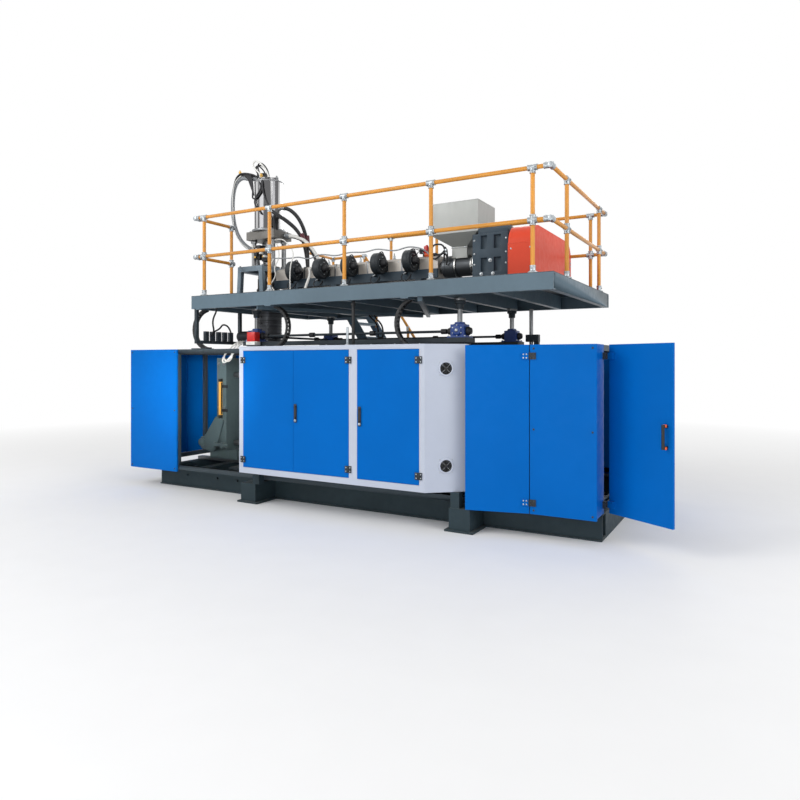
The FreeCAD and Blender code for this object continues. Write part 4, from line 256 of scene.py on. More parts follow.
# nodes whose surface in the photograph differs from the rest of their slot
FINER = {"extruder_cradle": "gearbox_slate", "head_stand": "stand_steel", "head_top_plate": "plate_steel",
         "die_head": "head_steel", "head_columns": "steel", "platform_deck": "deck_plate",
         "left_platen": "clamp_grey"}
for part in SUBPARTS:
    dress(part["node"], FINER.get(part["node"], part["material_slot"]))

# ---- piece making

ROUND = 24


def placed(start, along):
    """The matrix that turns Z along a direction and moves it to a place."""
    return Matrix.Translation(start) @ along.to_track_quat("Z", "Y").to_matrix().to_4x4()


class Form:
    """A mesh in the making, from turned, boxed and swept forms in metres."""

    def __init__(self):
        self.mesh = bmesh.new()

    def ring(self, places):
        return [self.mesh.verts.new(place) for place in places]

    def skin(self, rings, closed=False):
        """Faces from ring to ring, with a cap on both ends unless they close."""
        sides = len(rings[0])
        for near, far in zip(rings, rings[1:] + rings[:1] if closed else rings[1:]):
            for k in range(sides):
                n = (k + 1) % sides
                self.mesh.faces.new((near[k], near[n], far[n], far[k]))
        if not closed:
            self.mesh.faces.new(rings[0][::-1])
            self.mesh.faces.new(rings[-1])
        return self

    def rod(self, start, end, radius, sides=ROUND):
        """A round bar between two points."""
        a, b = Vector(start), Vector(end)
        bmesh.ops.create_cone(self.mesh, cap_ends=True, segments=sides, radius1=radius, radius2=radius,
                              depth=(b - a).length, matrix=placed((a + b) / 2, b - a))

    def rods(self, text, sides=ROUND, at=(0, 0, 0)):
        """Round bars in mm from a place, each by both ends and its radius."""
        at = Vector(at)
        for spot in mm(text):
            self.rod(at + Vector(spot[:3]), at + Vector(spot[3:6]), spot[6], sides)
        return self

    def block(self, middle, size, turn=Matrix()):
        """A box of a size round a middle, turned by a matrix."""
        place = Matrix.Translation(middle) @ turn
        bmesh.ops.create_cube(self.mesh, size=1, matrix=place @ Matrix.Diagonal((*size, 1)))

    def box(self, low, high):
        """A box between two corners."""
        a, b = Vector(low), Vector(high)
        self.block((a + b) / 2, b - a)

    def boxes(self, text, at=(0, 0, 0)):
        """Boxes in mm from a place, each by two corners."""
        at = Vector(at)
        for spot in mm(text):
            self.box(at + Vector(spot[:3]), at + Vector(spot[3:]))
        return self

    def slab(self, outline, near, far):
        """A flat plate: x, z pairs between two depths."""
        return self.skin([self.ring((x, y, z) for x, z in outline) for y in (near, far)])

    def lathe(self, start, along, profile, sides=ROUND * 2, closed=False):
        """A turned form: pairs of distance along the axis and radius, or the same in mm as text."""
        if isinstance(profile, str):
            profile = mm(profile)
        place = placed(Vector(start), Vector(along))
        turns = [2 * math.pi * k / sides for k in range(sides)]
        return self.skin([self.ring(place @ Vector((radius * math.cos(t), radius * math.sin(t), far)) for t in turns)
                          for far, radius in profile], closed)

    def hoop(self, centre, along, radius, thick, sides=ROUND * 2):
        """A round ring of round wire."""
        turns = [2 * math.pi * k / 10 for k in range(10)]
        profile = [(thick * math.sin(t), radius + thick * math.cos(t)) for t in turns]
        return self.lathe(centre, along, profile, sides, closed=True)

    def bolt(self, seat, along, radius):
        """A bolt head on its washer."""
        seat, along = Vector(seat), Vector(along)
        self.rod(seat - along * MM, seat + along * radius * 0.35, radius * 1.45, 16)
        self.rod(seat, seat + along * radius * 1.3, radius, 6)

    def bolts(self, text, along, radius, at=(0, 0, 0)):
        """Bolt heads at every pairing of x, y and z: three lists in mm from a place."""
        for seat in itertools.product(*mm(text)):
            self.bolt(Vector(at) + Vector(seat), along, radius)

    def sweep(self, path, radii, sides=14):
        """A tube along a path, with a radius at each point."""
        rings, side = [], None
        turns = [2 * math.pi * k / sides for k in range(sides)]
        for k, here in enumerate(path):
            ahead = (path[min(k + 1, len(path) - 1)] - path[max(k - 1, 0)]).normalized()
            side = (side or ahead.orthogonal()).normalized()
            side = (side - ahead * side.dot(ahead)).normalized()
            up = ahead.cross(side)
            rings.append(self.ring(here + (side * math.cos(t) + up * math.sin(t)) * radii[k] for t in turns))
        return self.skin(rings)

    def piece(self, name, slot_name, body="platform", stands_for=(), broken=MM):
        """Turns the form into a finished piece that rides on a body."""
        bmesh.ops.recalc_face_normals(self.mesh, faces=self.mesh.faces)
        data = bpy.data.meshes.new(name)
        self.mesh.to_mesh(data)
        self.mesh.free()
        return finished(name, data, slot_name, body, stands_for, broken)


def finished(name, data, slot_name, body, stands_for, broken=0.0):
    """A mesh or curve as a piece: material, broken edges, smoothing and place on a body."""
    thing = bpy.data.objects.new(name, data)
    bpy.context.scene.collection.objects.link(thing)
    data.materials.append(MATERIALS[slot_name])
    if thing.type == "MESH":
        soften(thing, broken, 40)
    if stands_for:
        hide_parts(*stands_for)
    if body:
        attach(thing, body)
    return thing


def nurbs(name, routes, steps):
    """A curve with a smooth line along each route's control points."""
    data = bpy.data.curves.new(name, "CURVE")
    data.dimensions = "3D"
    for route in routes:
        spline = data.splines.new("NURBS")
        spline.points.add(len(route) - 1)
        for point, place in zip(spline.points, route):
            point.co = (*place, 1)
        spline.order_u = 3
        spline.use_endpoint_u = True
        spline.resolution_u = steps
    return data


def line_of(points):
    """Points along a smooth line with the given control points."""
    carrier = bpy.data.objects.new("line", nurbs("line", [points], 12))
    mesh = bpy.data.meshes.new_from_object(carrier)
    path = [v.co.copy() for v in mesh.vertices]
    bpy.data.objects.remove(carrier)
    bpy.data.meshes.remove(mesh)
    return path


def even(path, pitch):
    """The same line at even steps."""
    out, spare = [path[0]], 0.0
    for a, b in zip(path, path[1:]):
        run = (b - a).length
        far = pitch - spare
        while far <= run:
            out.append(a.lerp(b, far / run))
            far += pitch
        spare = run - (far - pitch)
    return out


def cables(name, slot_name, radius, routes, body="platform", stands_for=()):
    """Smooth round cables, by lists of points, or in mm as text with semicolons between cables."""
    if isinstance(routes, str):
        routes = [mm(route) for route in routes.split(";")]
    data = nurbs(name, routes, 10)
    data.bevel_depth = radius
    data.bevel_resolution = 4
    data.use_fill_caps = True
    finished(name, data, slot_name, body, stands_for)


# ---- railing

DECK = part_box("platform_deck")[1].z
RAIL, SLEEVE = 0.021, 0.0275
RAIL_LEFT, RAIL_RIGHT, RAIL_FRONT, RAIL_REAR = -2.160, 2.386, -1.140, 1.140
GATE, LEFT_POST = -0.640, -0.520
LEVELS = {"mid": DECK + 0.491, "top": DECK + 0.980}
FRONT_POSTS = [-2.018 + 1.058 * i for i in range(5)]
POSTS = [(x, RAIL_FRONT, X) for x in FRONT_POSTS] + [(x, RAIL_REAR, X) for x in [GATE] + FRONT_POSTS[2:]]
POSTS += [(RAIL_LEFT, LEFT_POST, Y), (RAIL_RIGHT, -0.594, Y), (RAIL_RIGHT, 0.820, Y)]
CORNERS = [(RAIL_LEFT, RAIL_FRONT, X, Y), (RAIL_RIGHT, RAIL_FRONT, -X, Y), (RAIL_RIGHT, RAIL_REAR, -X, -Y)]

tubes, fittings, screws = Form(), Form(), Form()


def sleeve(middle, along, half, low_end=True, high_end=True):
    """A clamp's socket: a thick sleeve with a beaded rim at each open end."""
    bead, thick = 0.007, SLEEVE * 1.1
    open_end = [(half, RAIL), (half, thick), (half - bead, thick), (half - bead * 1.4, SLEEVE)]
    round_end = [(half, SLEEVE * 0.6), (half * 0.92, SLEEVE)]
    low, high = open_end if low_end else round_end, open_end if high_end else round_end
    fittings.lathe(middle, along, [(-far, radius) for far, radius in low] + high[::-1], ROUND)


def set_screw(at, out):
    """A grub screw in its boss."""
    at, out = Vector(at), Vector(out)
    fittings.rod(at + out * 0.018, at + out * (SLEEVE + 0.006), 0.0085, 12)
    screws.rod(at + out * SLEEVE, at + out * (SLEEVE + 0.0075), 0.0045, 6)


for z in LEVELS.values():
    for y, left in ((RAIL_FRONT, RAIL_LEFT), (RAIL_REAR, GATE)):
        tubes.rod((left, y, z), (RAIL_RIGHT, y, z), RAIL)
    for x, far in ((RAIL_LEFT, LEFT_POST), (RAIL_RIGHT, RAIL_REAR)):
        tubes.rod((x, RAIL_FRONT, z), (x, far, z), RAIL)
for x, y, along in POSTS:
    tubes.rod((x, y, DECK + 0.01), (x, y, LEVELS["top"]), RAIL)
    out = Y * math.copysign(1, y) if along is X else X * math.copysign(1, x)
    for level, z in LEVELS.items():
        sleeve((x, y, z), along, 0.046)
        drop, half, high_end = (0, 0.05, True) if level == "mid" else (0.024, 0.03, False)
        sleeve((x, y, z - drop), Z, half, True, high_end)
        set_screw(Vector((x, y, z)) + along * 0.03, out)
        set_screw((x, y, z - 0.036), out)
    foot = [(0.0, 0.048), (0.006, 0.048), (0.01, 0.044), (0.014, 0.034), (0.018, SLEEVE), (0.062, SLEEVE)]
    fittings.lathe((x, y, DECK), Z, foot + [(0.062, 0.030), (0.069, 0.030), (0.069, RAIL)], ROUND)
    set_screw((x, y, DECK + 0.04), out)
    for ray in spokes(4, 45, X, Y):
        screws.bolt(Vector((x, y, DECK + 0.009)) + ray * 0.038, Z, 0.004)
for x, y, inward, across in CORNERS:
    for z in LEVELS.values():
        corner = Vector((x, y, z))
        sleeve(corner + inward * 0.018, inward, 0.046, False)
        sleeve(corner + across * 0.018, across, 0.046, False)
        fittings.lathe(corner - Z * SLEEVE, Z, [(0, 0.014), (0.004, SLEEVE), (0.051, SLEEVE), (0.055, 0.014)], ROUND)
        set_screw(corner + inward * 0.044, Z)
        set_screw(corner + across * 0.044, Z)

# stair and landing rails
HAND, HAND_MID, HAND_TOP = 1.921, 2.918, 3.327
LANDING_LEFT, LANDING_RIGHT = -2.221, -1.597
LANDING_LOW, LANDING_START = 2.290, 1.204
tubes.rod((LANDING_RIGHT, HAND, HAND_TOP), (-0.012, HAND, 1.004), RAIL)
for x, low, high in mm("-1371 2150 3000, -789 1265 2130, -207 380 1250"):
    tubes.rod((x, HAND, low), (x, HAND, high), RAIL)
    sleeve((x, HAND, high - 0.01), Z, 0.034, True, False)
for z in (HAND_MID, HAND_TOP):
    tubes.rod((LANDING_LEFT, HAND, z), (LANDING_RIGHT, HAND, z), RAIL)
    tubes.rod((LANDING_LEFT, LANDING_START, z), (LANDING_LEFT, HAND, z), RAIL)
    for x, along in ((LANDING_LEFT, -X), (LANDING_RIGHT, X)):
        sleeve((x, HAND, z), along, 0.038, True, z == HAND_MID)
    sleeve((LANDING_LEFT, HAND - 0.02, z), Y, 0.04, True, False)
    sleeve((LANDING_LEFT, LANDING_START + 0.016, z), Y, 0.016)
for x in (LANDING_LEFT, LANDING_RIGHT):
    tubes.rod((x, HAND, LANDING_LOW), (x, HAND, HAND_TOP), RAIL)
    sleeve((x, HAND, HAND_MID), Z, 0.046)
    sleeve((x, HAND, HAND_TOP - 0.02), Z, 0.034, True, False)
tubes.piece("railing_round_tubes", "rail_yellow", stands_for=("railing_tubes", "stair_handrails"), broken=0.0012)
fittings.piece("railing_clamps", "fitting_silver", stands_for=("railing_fittings",), broken=0.0015)
screws.piece("railing_screws", "dark_grey", broken=0)


# ---- blowers and extruder

BLOWER_Y, BLOWER_Z = -0.250, 2.795
BLOWERS = [-1.313 + 0.436 * i for i in range(5)]
CRADLE_FRONT = -0.153

shells, hubs, bright = Form(), Form(), Form()
for x in BLOWERS:
    heart = Vector((x, BLOWER_Y, BLOWER_Z))
    shells.lathe(heart, X, """-55 70, -55 116, -50 125, -42 130, 18 130, 22 126, 30 126, 34 130, 44 128, 50 120,
        50 104, 45 100, 45 90, 53 86, 53 64, 46 61, 46 52""")
    shells.lathe(heart, -X, "50 71, 55 71, 63 65, 63 50, 55 46")
    hubs.lathe(heart, X, "40 50, 72 48, 76 43, 104 42, 112 36, 114 20, 122 18, 124 8", ROUND)
    for k, ray in enumerate(spokes(12)):
        hubs.rod(heart + X * 0.044 + ray * 0.088, heart + X * 0.044 + ray * 0.102, 0.004, 8)
        if k % 2:
            bright.bolt(heart + X * 0.052 + ray * 0.075, X, 0.0045)
            hubs.rod(heart + X * 0.072 + ray * 0.040, heart + X * 0.106 + ray * 0.040, 0.005, 8)
            bright.bolt(heart - X * 0.040 + ray * 0.122, X, 0.005)
    shells.boxes("-50 0 -89 50 132 3, -59 118 -98 59 132 12", heart)
    bright.bolts("-53 53, 118, -90 3", -Y, 0.0045, heart)
    # saddle and clips down to the cradle
    foot = Vector((x - 0.045, CRADLE_FRONT, 2.700))
    hubs.boxes("-60 -50 -4 80 2 4, -60 -50 -50 -52 2 4, 30 -50 0 36 30 40", foot)
    bright.rods("-75 -42 -45 -40 -42 -30 9, -66 -30 4 -66 -30 36 7", 12, foot)
    bright.bolt(foot + Vector((0.060, -0.030, 0.004)), Z, 0.007)
shells.piece("blower_shells", "black_paint", stands_for=("blowers",), broken=0.0015)
hubs.piece("blower_motors_and_brackets", "rubber_black")
bright.piece("blower_bolts", "fitting_silver", broken=0.0005)
LEADS = mm("-111 -183 2736, -131 -183 2776, -96 -213 2866, 30 -235 2955, 75 -250 2900, 90 -250 2830"), mm(
    "-130 -195 2655, -160 -205 2625, -110 -215 2555, -60 -165 2595, -40 -155 2655")
leads = [[(x + across, y, z) for across, y, z in lead] for x in BLOWERS for lead in LEADS]
cables("blower_leads", "rubber_black", 0.0065, leads)
sagging = mm("-1700 -200 3000, -1530 -210 2985")
for k, x in enumerate(BLOWERS):
    sagging += [(x - 0.06, -0.21, 2.975 + 0.012 * (k % 2)), (x + 0.05, -0.21, 2.985 - 0.006 * k)]
    if x is not BLOWERS[-1]:
        sagging += [(x + 0.22, -0.215, 2.935 + 0.01 * (k % 3))]
sagging += mm("580 -200 2930, 640 -160 2870, 660 -135 2840")
cables("heater_cable", "conduit_grey", 0.0085, [sagging])

# joints, terminals and screws of the heater shrouds
bands, knobs = Form(), Form()
for zone in range(5):
    left = X * (-1.73 + 0.494 * zone)
    if zone:
        bands.boxes("-12 -120 2602 12 -118 2858, -12 118 2602 12 120 2858, -12 -119 2858 12 119 2862", left)
    knobs.lathe(left + Vector((0.35, -0.05, 2.858)), Z, "0 20, 18 20, 22 16, 50 14, 54 8", 20)
    knobs.rods("350 -50 2900 370 -90 2930 6", 12, left)
SHROUD_SCREWS = "-1680 -1286 -1186 -792 -692 -298 -198 196 296 690"
for side in (-1, 1):
    knobs.bolts(f"{SHROUD_SCREWS}, {117.975 * side}, 2640 2820", Y * side, 0.006)
bands.piece("shroud_bands", "steel", broken=0.0008)
knobs.piece("shroud_knobs", "fitting_silver", broken=0.0006)


# ---- extrusion head

HEAD_X = -1.955
# tops of the head's manifold, of its top plate and of the cylinder
MANIFOLD_TOP, PLATE_TOP, CYLINDER_TOP = 2.888, 3.401, 4.107

route = mm("-2131 0 4191, -2277.5 0 4191, -2489.6 0 4263, -2636 0 4086.8, -2636 0 3617.7, -2464.3 0 3291.9, "
           "-2146.2 0 3135.6, -2146.2 0 2888")
ribbed = even(line_of(route), 7.5 * MM)
conduit = Form().sweep(ribbed, [30 * MM if k % 2 else 25.5 * MM for k in range(len(ribbed))], 18)
conduit.lathe(route[0], -X, "-4 30, 0 36, 30 36, 34 31", ROUND)
conduit.lathe(route[-1], Z, "0 36, 30 36, 34 31", ROUND)
conduit.piece("ribbed_conduit", "conduit_grey", stands_for=("conduit",), broken=0)
cables("side_tube", "hose_white", 0.006, """
    -2440 -35 4262, -2520 -40 4235, -2585 -36 4130, -2612 -35 3950, -2590 -40 3760, -2600 -35 3600, -2545 -38 3420,
    -2440 -35 3290, -2330 -32 3220, -2210 -30 3100, -2185 -20 2950, -2185 -20 2885""")

cables("white_loop", "hose_white", 0.012, """
    -1855 -125 4140, -1862 -125 4205, -1985 -125 4345, -2095 -125 4412, -2150 -125 4350, -2075 -125 4262,
    -2005 -125 4215, -2000 -125 4140""", stands_for=("head_loop",))
random.seed(11)
strands = []
for k in range(7):
    lift, deep, shift = (random.uniform(*span) for span in mm("-12 16, -50 45, -20 20"))
    strands.append([(-2.06 + shift, deep - 0.02, 4.10), (-2.10 + shift, deep - 0.03, 4.19 + lift),
                    (-2.26, deep * 0.8, 4.255 + lift), (-2.43 + shift, deep * 0.6, 4.296 + lift),
                    (-2.55, deep * 0.5, 4.255 + lift), (-2.615 + lift, deep * 0.4, 4.13),
                    (-2.63, deep * 0.3, 4.02 + shift)])
# x, y, z of a fan of cables, and the thousandths of its spread that x and z move by
FAN = mm("""-2300 -20 4275 -1000 0, -2235 -50 4215 -600 0, -2170 -100 4120 -300 -400, -2115 -150 4020 0 -500,
    -2100 -165 3955 100 -400""")
for k in range(5):
    strands.append([(x + 0.028 * k * a, y, z + 0.028 * k * b) for x, y, z, a, b in FAN])
cables("arch_cables", "rubber_black", 0.0105, strands)
cables("black_loops", "rubber_black", 0.0095, """
    -1885 -105 4100, -1885 -105 4190, -1930 -105 4280, -2030 -105 4345, -2100 -105 4300, -2060 -105 4200,
    -2010 -105 4150;
    -1930 -75 4120, -1940 -75 4200, -2020 -75 4300, -2100 -75 4355, -2145 -75 4310, -2080 -75 4210, -2030 -75 4140;
    -1860 -120 4100, -1850 -120 4170, -1890 -120 4270, -1985 -120 4360, -2055 -120 4350, -2040 -120 4250,
    -1980 -120 4140""")
cables("front_leads", "rubber_black", 0.0115, """
    -2000 -120 4150, -1930 -190 4100, -1885 -213 3990, -1860 -217 3880, -1800 -205 3760, -1745 -205 3680,
    -1660 -190 3600, -1585 -120 3520, -1530 20 3460;
    -2020 -110 4150, -1970 -190 4100, -1900 -214 3980, -1985 -214 3890, -2042 -200 3820, -2020 -212 3760,
    -1965 -214 3700, -1900 -212 3620;
    -2105 -165 3960, -2115 -160 3900, -2085 -185 3860, -2000 -213 3840, -1915 -214 3910, -1880 -213 4000,
    -1900 -200 4100, -1950 -120 4150""")
bundle = mm("""-1830 -215 3715, -1752 -210 3662, -1640 -170 3578, -1541 -80 3495, -1475 30 3395, -1445 120 3260,
    -1440 190 3050, -1440 220 2800, -1440 220 2430""")
cables("hose_bundle", "rubber_black", 0.0125, [[Vector(p) + ray * 0.017 for p in bundle] for ray in spokes(6)])
cables("plate_hoses", "rubber_black", 0.020, """
    -1735 -140 3400, -1733 -150 3460, -1722 -170 3550, -1690 -180 3610, -1630 -160 3575;
    -1735 -90 3400, -1728 -100 3470, -1705 -130 3550, -1655 -150 3575, -1600 -120 3540""")
cables("thick_hose", "rubber_black", 0.026, """
    -1765 30 3735, -1690 30 3728, -1605 50 3690, -1525 100 3600, -1470 160 3450, -1458 215 3280, -1475 255 3050,
    -1480 270 2750, -1480 270 2430""")
grips, sleeves = Form(), Form()
grips.lathe((-1.772, 0.03, 3.737), Vector((0.08, 0, -0.008)), "0 18, 2 27, 50 27, 52 33, 75 33, 78 28", ROUND)
for place, turn in (((-1.452, 0.10, 3.31), (0.02, 0.06, -0.2)), ((-1.458, 0.215, 3.30), (0, 0.03, -0.2))):
    sleeves.lathe(place, turn, "-55 30, -52 39, 50 39, 53 30", ROUND)
sleeves.piece("hose_sleeves", "sleeve_red", broken=0)

for name, shade, route in (
        ("front", "hose_white", """-1710 48 3344.5, -1585.9 48 3344.5, -1360.3 93.9 3252.8, -1202.4 162.8 2995.9,
            -1146 201 2702.3, -1146 201 2427"""),
        ("rear", "rubber_black", """-1710 106 3344.5, -1606.6 106 3344.5, -1418.6 151.9 3252.8, -1287 220.8 2995.9,
            -1240 259 2702.3, -1240 259 2427""")):
    points = mm(route)
    cables(f"head_hose_{name}", shade, 0.0235, [points], stands_for=("head_hoses",))
    grips.lathe(points[0], X, "0 32, 18 32, 20 26.5, 75 26.5, 78 23.5", ROUND)
    grips.lathe(points[-1], Z, "0 34, 20 34, 22 26.5, 80 26.5, 83 23.5", ROUND)
for place in mm("-1440 220 2427, -1480 270 2427"):
    grips.lathe(place, Z, "0 45, 12 45, 14 36, 60 36, 63 28", ROUND)
cables("thin_hoses", "hose_white", 0.0075, """
    -1720 -150 3260, -1600 -160 3270, -1490 -160 3190, -1370 -200 3080, -1280 -300 2965, -1245 -400 2870,
    -1215 -455 2720, -1205 -460 2550, -1205 -460 2430;
    -1720 -130 3220, -1660 -150 3170, -1600 -200 2990, -1630 -280 2860, -1545 -330 2750, -1600 -360 2640,
    -1660 -400 2550, -1640 -420 2430;
    -1700 -200 3000, -1740 -240 2900, -1660 -280 2800, -1720 -330 2700, -1600 -370 2600, -1520 -380 2520,
    -1500 -380 2430""")
cables("pale_hose", "hose_white", 0.017, """
    -1100 -118 2800, -1080 -200 2820, -1030 -290 2800, -975 -340 2720, -965 -420 2600, -985 -450 2500,
    -985 -450 2430""")

# ram yoke, valves and fittings between the columns
dark, brass, white = Form(), Form(), Form()
dark.boxes("""-2075 -175 3020 -1970 -40 3210, -1935 -175 2980 -1845 -40 3160, -1895 -300 2427 -1755 -275 2720,
    -2050 -160 2890 -1860 120 2935, -2030 -205 3060 -1995 -175 3130""")
for x, z in itertools.product((-2.03, -1.885), (3.04, 3.14)):
    brass.rods("0 -172 0 0 -208 0 14", 16, (x, 0, z))
for k in range(4):
    white.rods("-2060 -170 3190 -2060 -228 3190 16", 16, (0.07 * k, 0, -0.05 * k))
    dark.rods("-1870 -360 2500 -1870 -290 2500 22", 16, (0.03 * k, 0, 0.06 * k))
for place in mm("-2496 0 4285, -2028 -60 4145, -1990 -120 4145"):
    brass.lathe(place, Z, "0 16, 30 16, 32 22, 50 22, 52 10, 70 10", 18)
brass.bolts("-2090 -2040, -30, 4200", -Y, 0.016)
# cap bolts, gland ring and ports of the cylinder
ring = Form()
ring.lathe((HEAD_X, 0, CYLINDER_TOP - 0.022), Z, "0 201, 4 203.5, 16 203.5, 22 198, 24.5 170")
ring.lathe((HEAD_X, 0, PLATE_TOP), Z, "0 235, 26 235, 30 230, 30 205, 36 201")
for ray in spokes(12, 15, X, Y):
    ring.bolt(Vector((HEAD_X, 0, CYLINDER_TOP)) + ray * 0.182, Z, 0.009)
    ring.bolt(Vector((HEAD_X, 0, PLATE_TOP + 0.028)) + ray * 0.219, Z, 0.009)
for place in mm("-1800 -20 4100, -1860 60 4100"):
    ring.lathe(place, Z, "0 20, 30 20, 32 26, 52 26, 55 12, 75 12", 18)
ring.piece("cylinder_rings", "steel")
dark.piece("head_valves", "rubber_black", broken=0.003)
brass.piece("brass_fittings", "brass", broken=0.0008)
white.piece("white_plugs", "hose_white")
grips.piece("hose_ends", "fitting_silver", broken=0.0008)
# plate bolts of the stand and top plate
bolts = Form()
bolts.bolts("-2160 -1750, -150 150, 3401", Z, 0.014)
bolts.bolts("-2152 -1758, -360.45 360.45, 2888", Z, 0.013)
for x in (HEAD_X - 0.17, HEAD_X + 0.17):
    for y in (-0.115, 0.115):
        bolts.rod((x, y, MANIFOLD_TOP), (x, y, MANIFOLD_TOP + 0.037), 0.046, 6)
        bolts.rod((x, y, 3.25), (x, y, 3.288), 0.046, 6)
bolts.piece("head_bolts", "steel")


# ---- drive end

# the screw's axis, the motor's middle and the hopper's place along the screw
AXIS, MOTOR, HOPPER_X = Vector((0, 0, 2.72)), Vector((1.40, 0.745, 2.74)), 1.0
GEAR_FRONT = -0.290
GEAR_LOW, GEAR_HIGH = Vector((1.245, GEAR_FRONT, DECK)), Vector((1.664, -GEAR_FRONT, 3.020))


def pocketed(low, high, across, upward, depth):
    """A case whose front has recesses between pairs of x and of z."""
    form = Form()
    xs = [low.x, *[x for pair in across for x in pair], high.x]
    zs = [low.z, *[z for pair in upward for z in pair], high.z]
    grid = [form.ring((x, low.y, z) for z in zs) for x in xs]
    recessed = []
    for i in range(len(xs) - 1):
        for k in range(len(zs) - 1):
            face = form.mesh.faces.new((grid[i][k], grid[i + 1][k], grid[i + 1][k + 1], grid[i][k + 1]))
            if i % 2 and k % 2:
                recessed.append(face)
    sunk = bmesh.ops.extrude_discrete_faces(form.mesh, faces=recessed)["faces"]
    bmesh.ops.translate(form.mesh, verts=list({v for f in sunk for v in f.verts}), vec=(0, depth, 0))
    for face in sunk:
        middle = face.calc_center_median()
        for v in face.verts:
            v.co.x += (middle.x - v.co.x) * 0.12
            v.co.z += (middle.z - v.co.z) * 0.06
    border = [edge for edge in form.mesh.edges if edge.is_boundary]
    drawn = bmesh.ops.extrude_edge_only(form.mesh, edges=border)["geom"]
    back = [thing for thing in drawn if isinstance(thing, bmesh.types.BMVert)]
    bmesh.ops.translate(form.mesh, verts=back, vec=(0, high.y - low.y, 0))
    bmesh.ops.holes_fill(form.mesh, edges=[edge for edge in form.mesh.edges if edge.is_boundary])
    return form


case = pocketed(GEAR_LOW, GEAR_HIGH, ((1.345, 1.420), (1.498, 1.580)), ((2.600, 2.752), (2.850, 2.998)), 0.040)
crown = mm("-286 3018, -286 3060, -246 3100, 246 3100, 286 3060, 286 3018")
case.skin([case.ring((x, y, z) for y, z in crown) for x in (1.312, 1.660)])
case.piece("gearbox_case", "gearbox_slate", stands_for=("gearbox",), broken=0.004)
screws, dark = Form(), Form()
screws.lathe((1.457, -0.289, 2.719), -Y, "0 22, 6 22, 8 16", 20)
screws.rods("1457 -290 2719 1457 -312 2719 12", 6)
screws.bolts("1285 1625, -290, 2460", -Y, 0.014)
screws.bolts("1353 1489, -290, 2572", -Y, 0.014)
screws.bolts("1340 1490 1635, -200 0 200, 3100", Z, 0.010)
screws.bolts("1270 1640, -290, 2500 2680 2800 2950", -Y, 0.007)
dark.lathe((1.42, 0.12, 3.10), Z, "0 22, 20 22, 22 34, 55 34, 60 26", 20)

# throat: drum, cooled body and polished rims
throat = Form()
throat.lathe(AXIS + X * 0.775, X, "0 85, 0 118, 8 124, 45 124, 50 132, 58 134.5, 155 134.5, 163 128")
throat.lathe(AXIS + X * 0.930, X, "0 90, 0 120, 6 122.5, 10 118, 225 118, 235 110, 315 110")
throat.piece("throat_drum", "throat_dark", stands_for=("feed_throat",))
rims = Form()
rims.lathe(AXIS + X * 0.936, X, "0 100, 0 136.5, 4 138.5, 20 138.5, 24 134, 24 100")
rims.lathe(AXIS + X * 1.140, X, "0 100, 0 124, 12 126, 14 100")
rims.lathe(AXIS + X * 1.178, X, "0 100, 0 158, 5 167, 12 169.5, 26 169.5, 34 163, 38 150, 38 100")
for ray in spokes(10, 8):
    screws.bolt(AXIS + X * 1.179 + ray * 0.140, -X, 0.009)
rims.piece("throat_rims", "polished", broken=0.0008)
frame_strip = Form()
for z, half in ((2.9305, 0.098), (2.812, 0.097)):
    for side in (-1, 1):
        frame_strip.block((HOPPER_X, side * half, z), (2 * half, 0.006, 0.016))
        frame_strip.block((HOPPER_X + side * half, 0, z), (0.006, 2 * half, 0.016))
frame_strip.piece("feed_box_flanges", "hopper_grey", broken=0.0008)
screws.bolts("930 1000 1070, 100, 2928.5", Y, 0.006)
screws.bolts("930 1000 1070, -100, 2928.5", -Y, 0.006)

# hopper rim
rim = Form()
for side in (-1, 1):
    rim.boxes("-301 -2.5 3413 301 2.5 3426.5", (HOPPER_X, side * 0.258, 0))
    rim.boxes("-2.5 -259 3413 2.5 259 3426.5", (HOPPER_X + side * 0.299, 0, 0))
rim.piece("hopper_rim", "hopper_grey")

# valve, hoses and fittings beside the throat
red, orange = Form(), Form()
red.boxes("535 -100 2895 583 -30 2985").rods("559 -65 2985 559 -65 3000 16", 16)
orange.boxes("545 -105 2858 650 -20 2896")
dark.rods("500 -65 2930 535 -65 2930 20, 660 -90 2875 700 -90 2875 18, 520 -65 2855 520 -65 2900 14", 16)
dark.boxes("470 -90 2900 505 -40 2960")
red.piece("valve_coil", "signal_red", broken=0.004)
orange.piece("valve_base", "valve_orange", broken=0.004)
cables("throat_hoses", "rubber_black", 0.0105, """
    600 -80 2900, 650 -90 2985, 720 -110 2990, 800 -125 2975, 840 -140 2900, 825 -150 2830, 830 -140 2780;
    700 -90 2875, 750 -120 2860, 810 -150 2870, 865 -165 2930, 875 -160 2850, 870 -150 2800;
    660 -100 2830, 710 -150 2800, 780 -170 2840, 850 -175 2880, 885 -170 2800, 860 -155 2730""")
cables("throat_leads", "conduit_grey", 0.006, """
    400 -50 2860, 430 -70 2920, 480 -80 2935, 520 -80 2910, 545 -70 2870;
    330 -60 2860, 360 -100 2950, 420 -100 2970, 470 -70 2940""")
dark.rods("845 -150 2930 845 -180 2930 13, 835 -150 2865 835 -180 2865 13", 14)
screws.rods("862 -150 2900 862 -180 2900 13, 868 -150 2860 868 -180 2860 13", 14)

# belt guard: folded seams and screws
screws.bolts("1990, -400 1030, 2500 2780 2820", X, 0.007)
screws.bolts("1750 1960, -440, 2460 2800", -Y, 0.006)
seam = Form().boxes("""1716 -442.5 2853 1992.5 -437 2861, 1987 -442.5 2427 1992.5 -436 2853,
    1716 -442.5 2427 1721.5 -436 2853""")
seam.piece("belt_guard_folds", "guard_orange")
screws.piece("drive_screws", "fitting_silver", broken=0.0006)
dark.piece("drive_fittings", "rubber_black", broken=0.002)

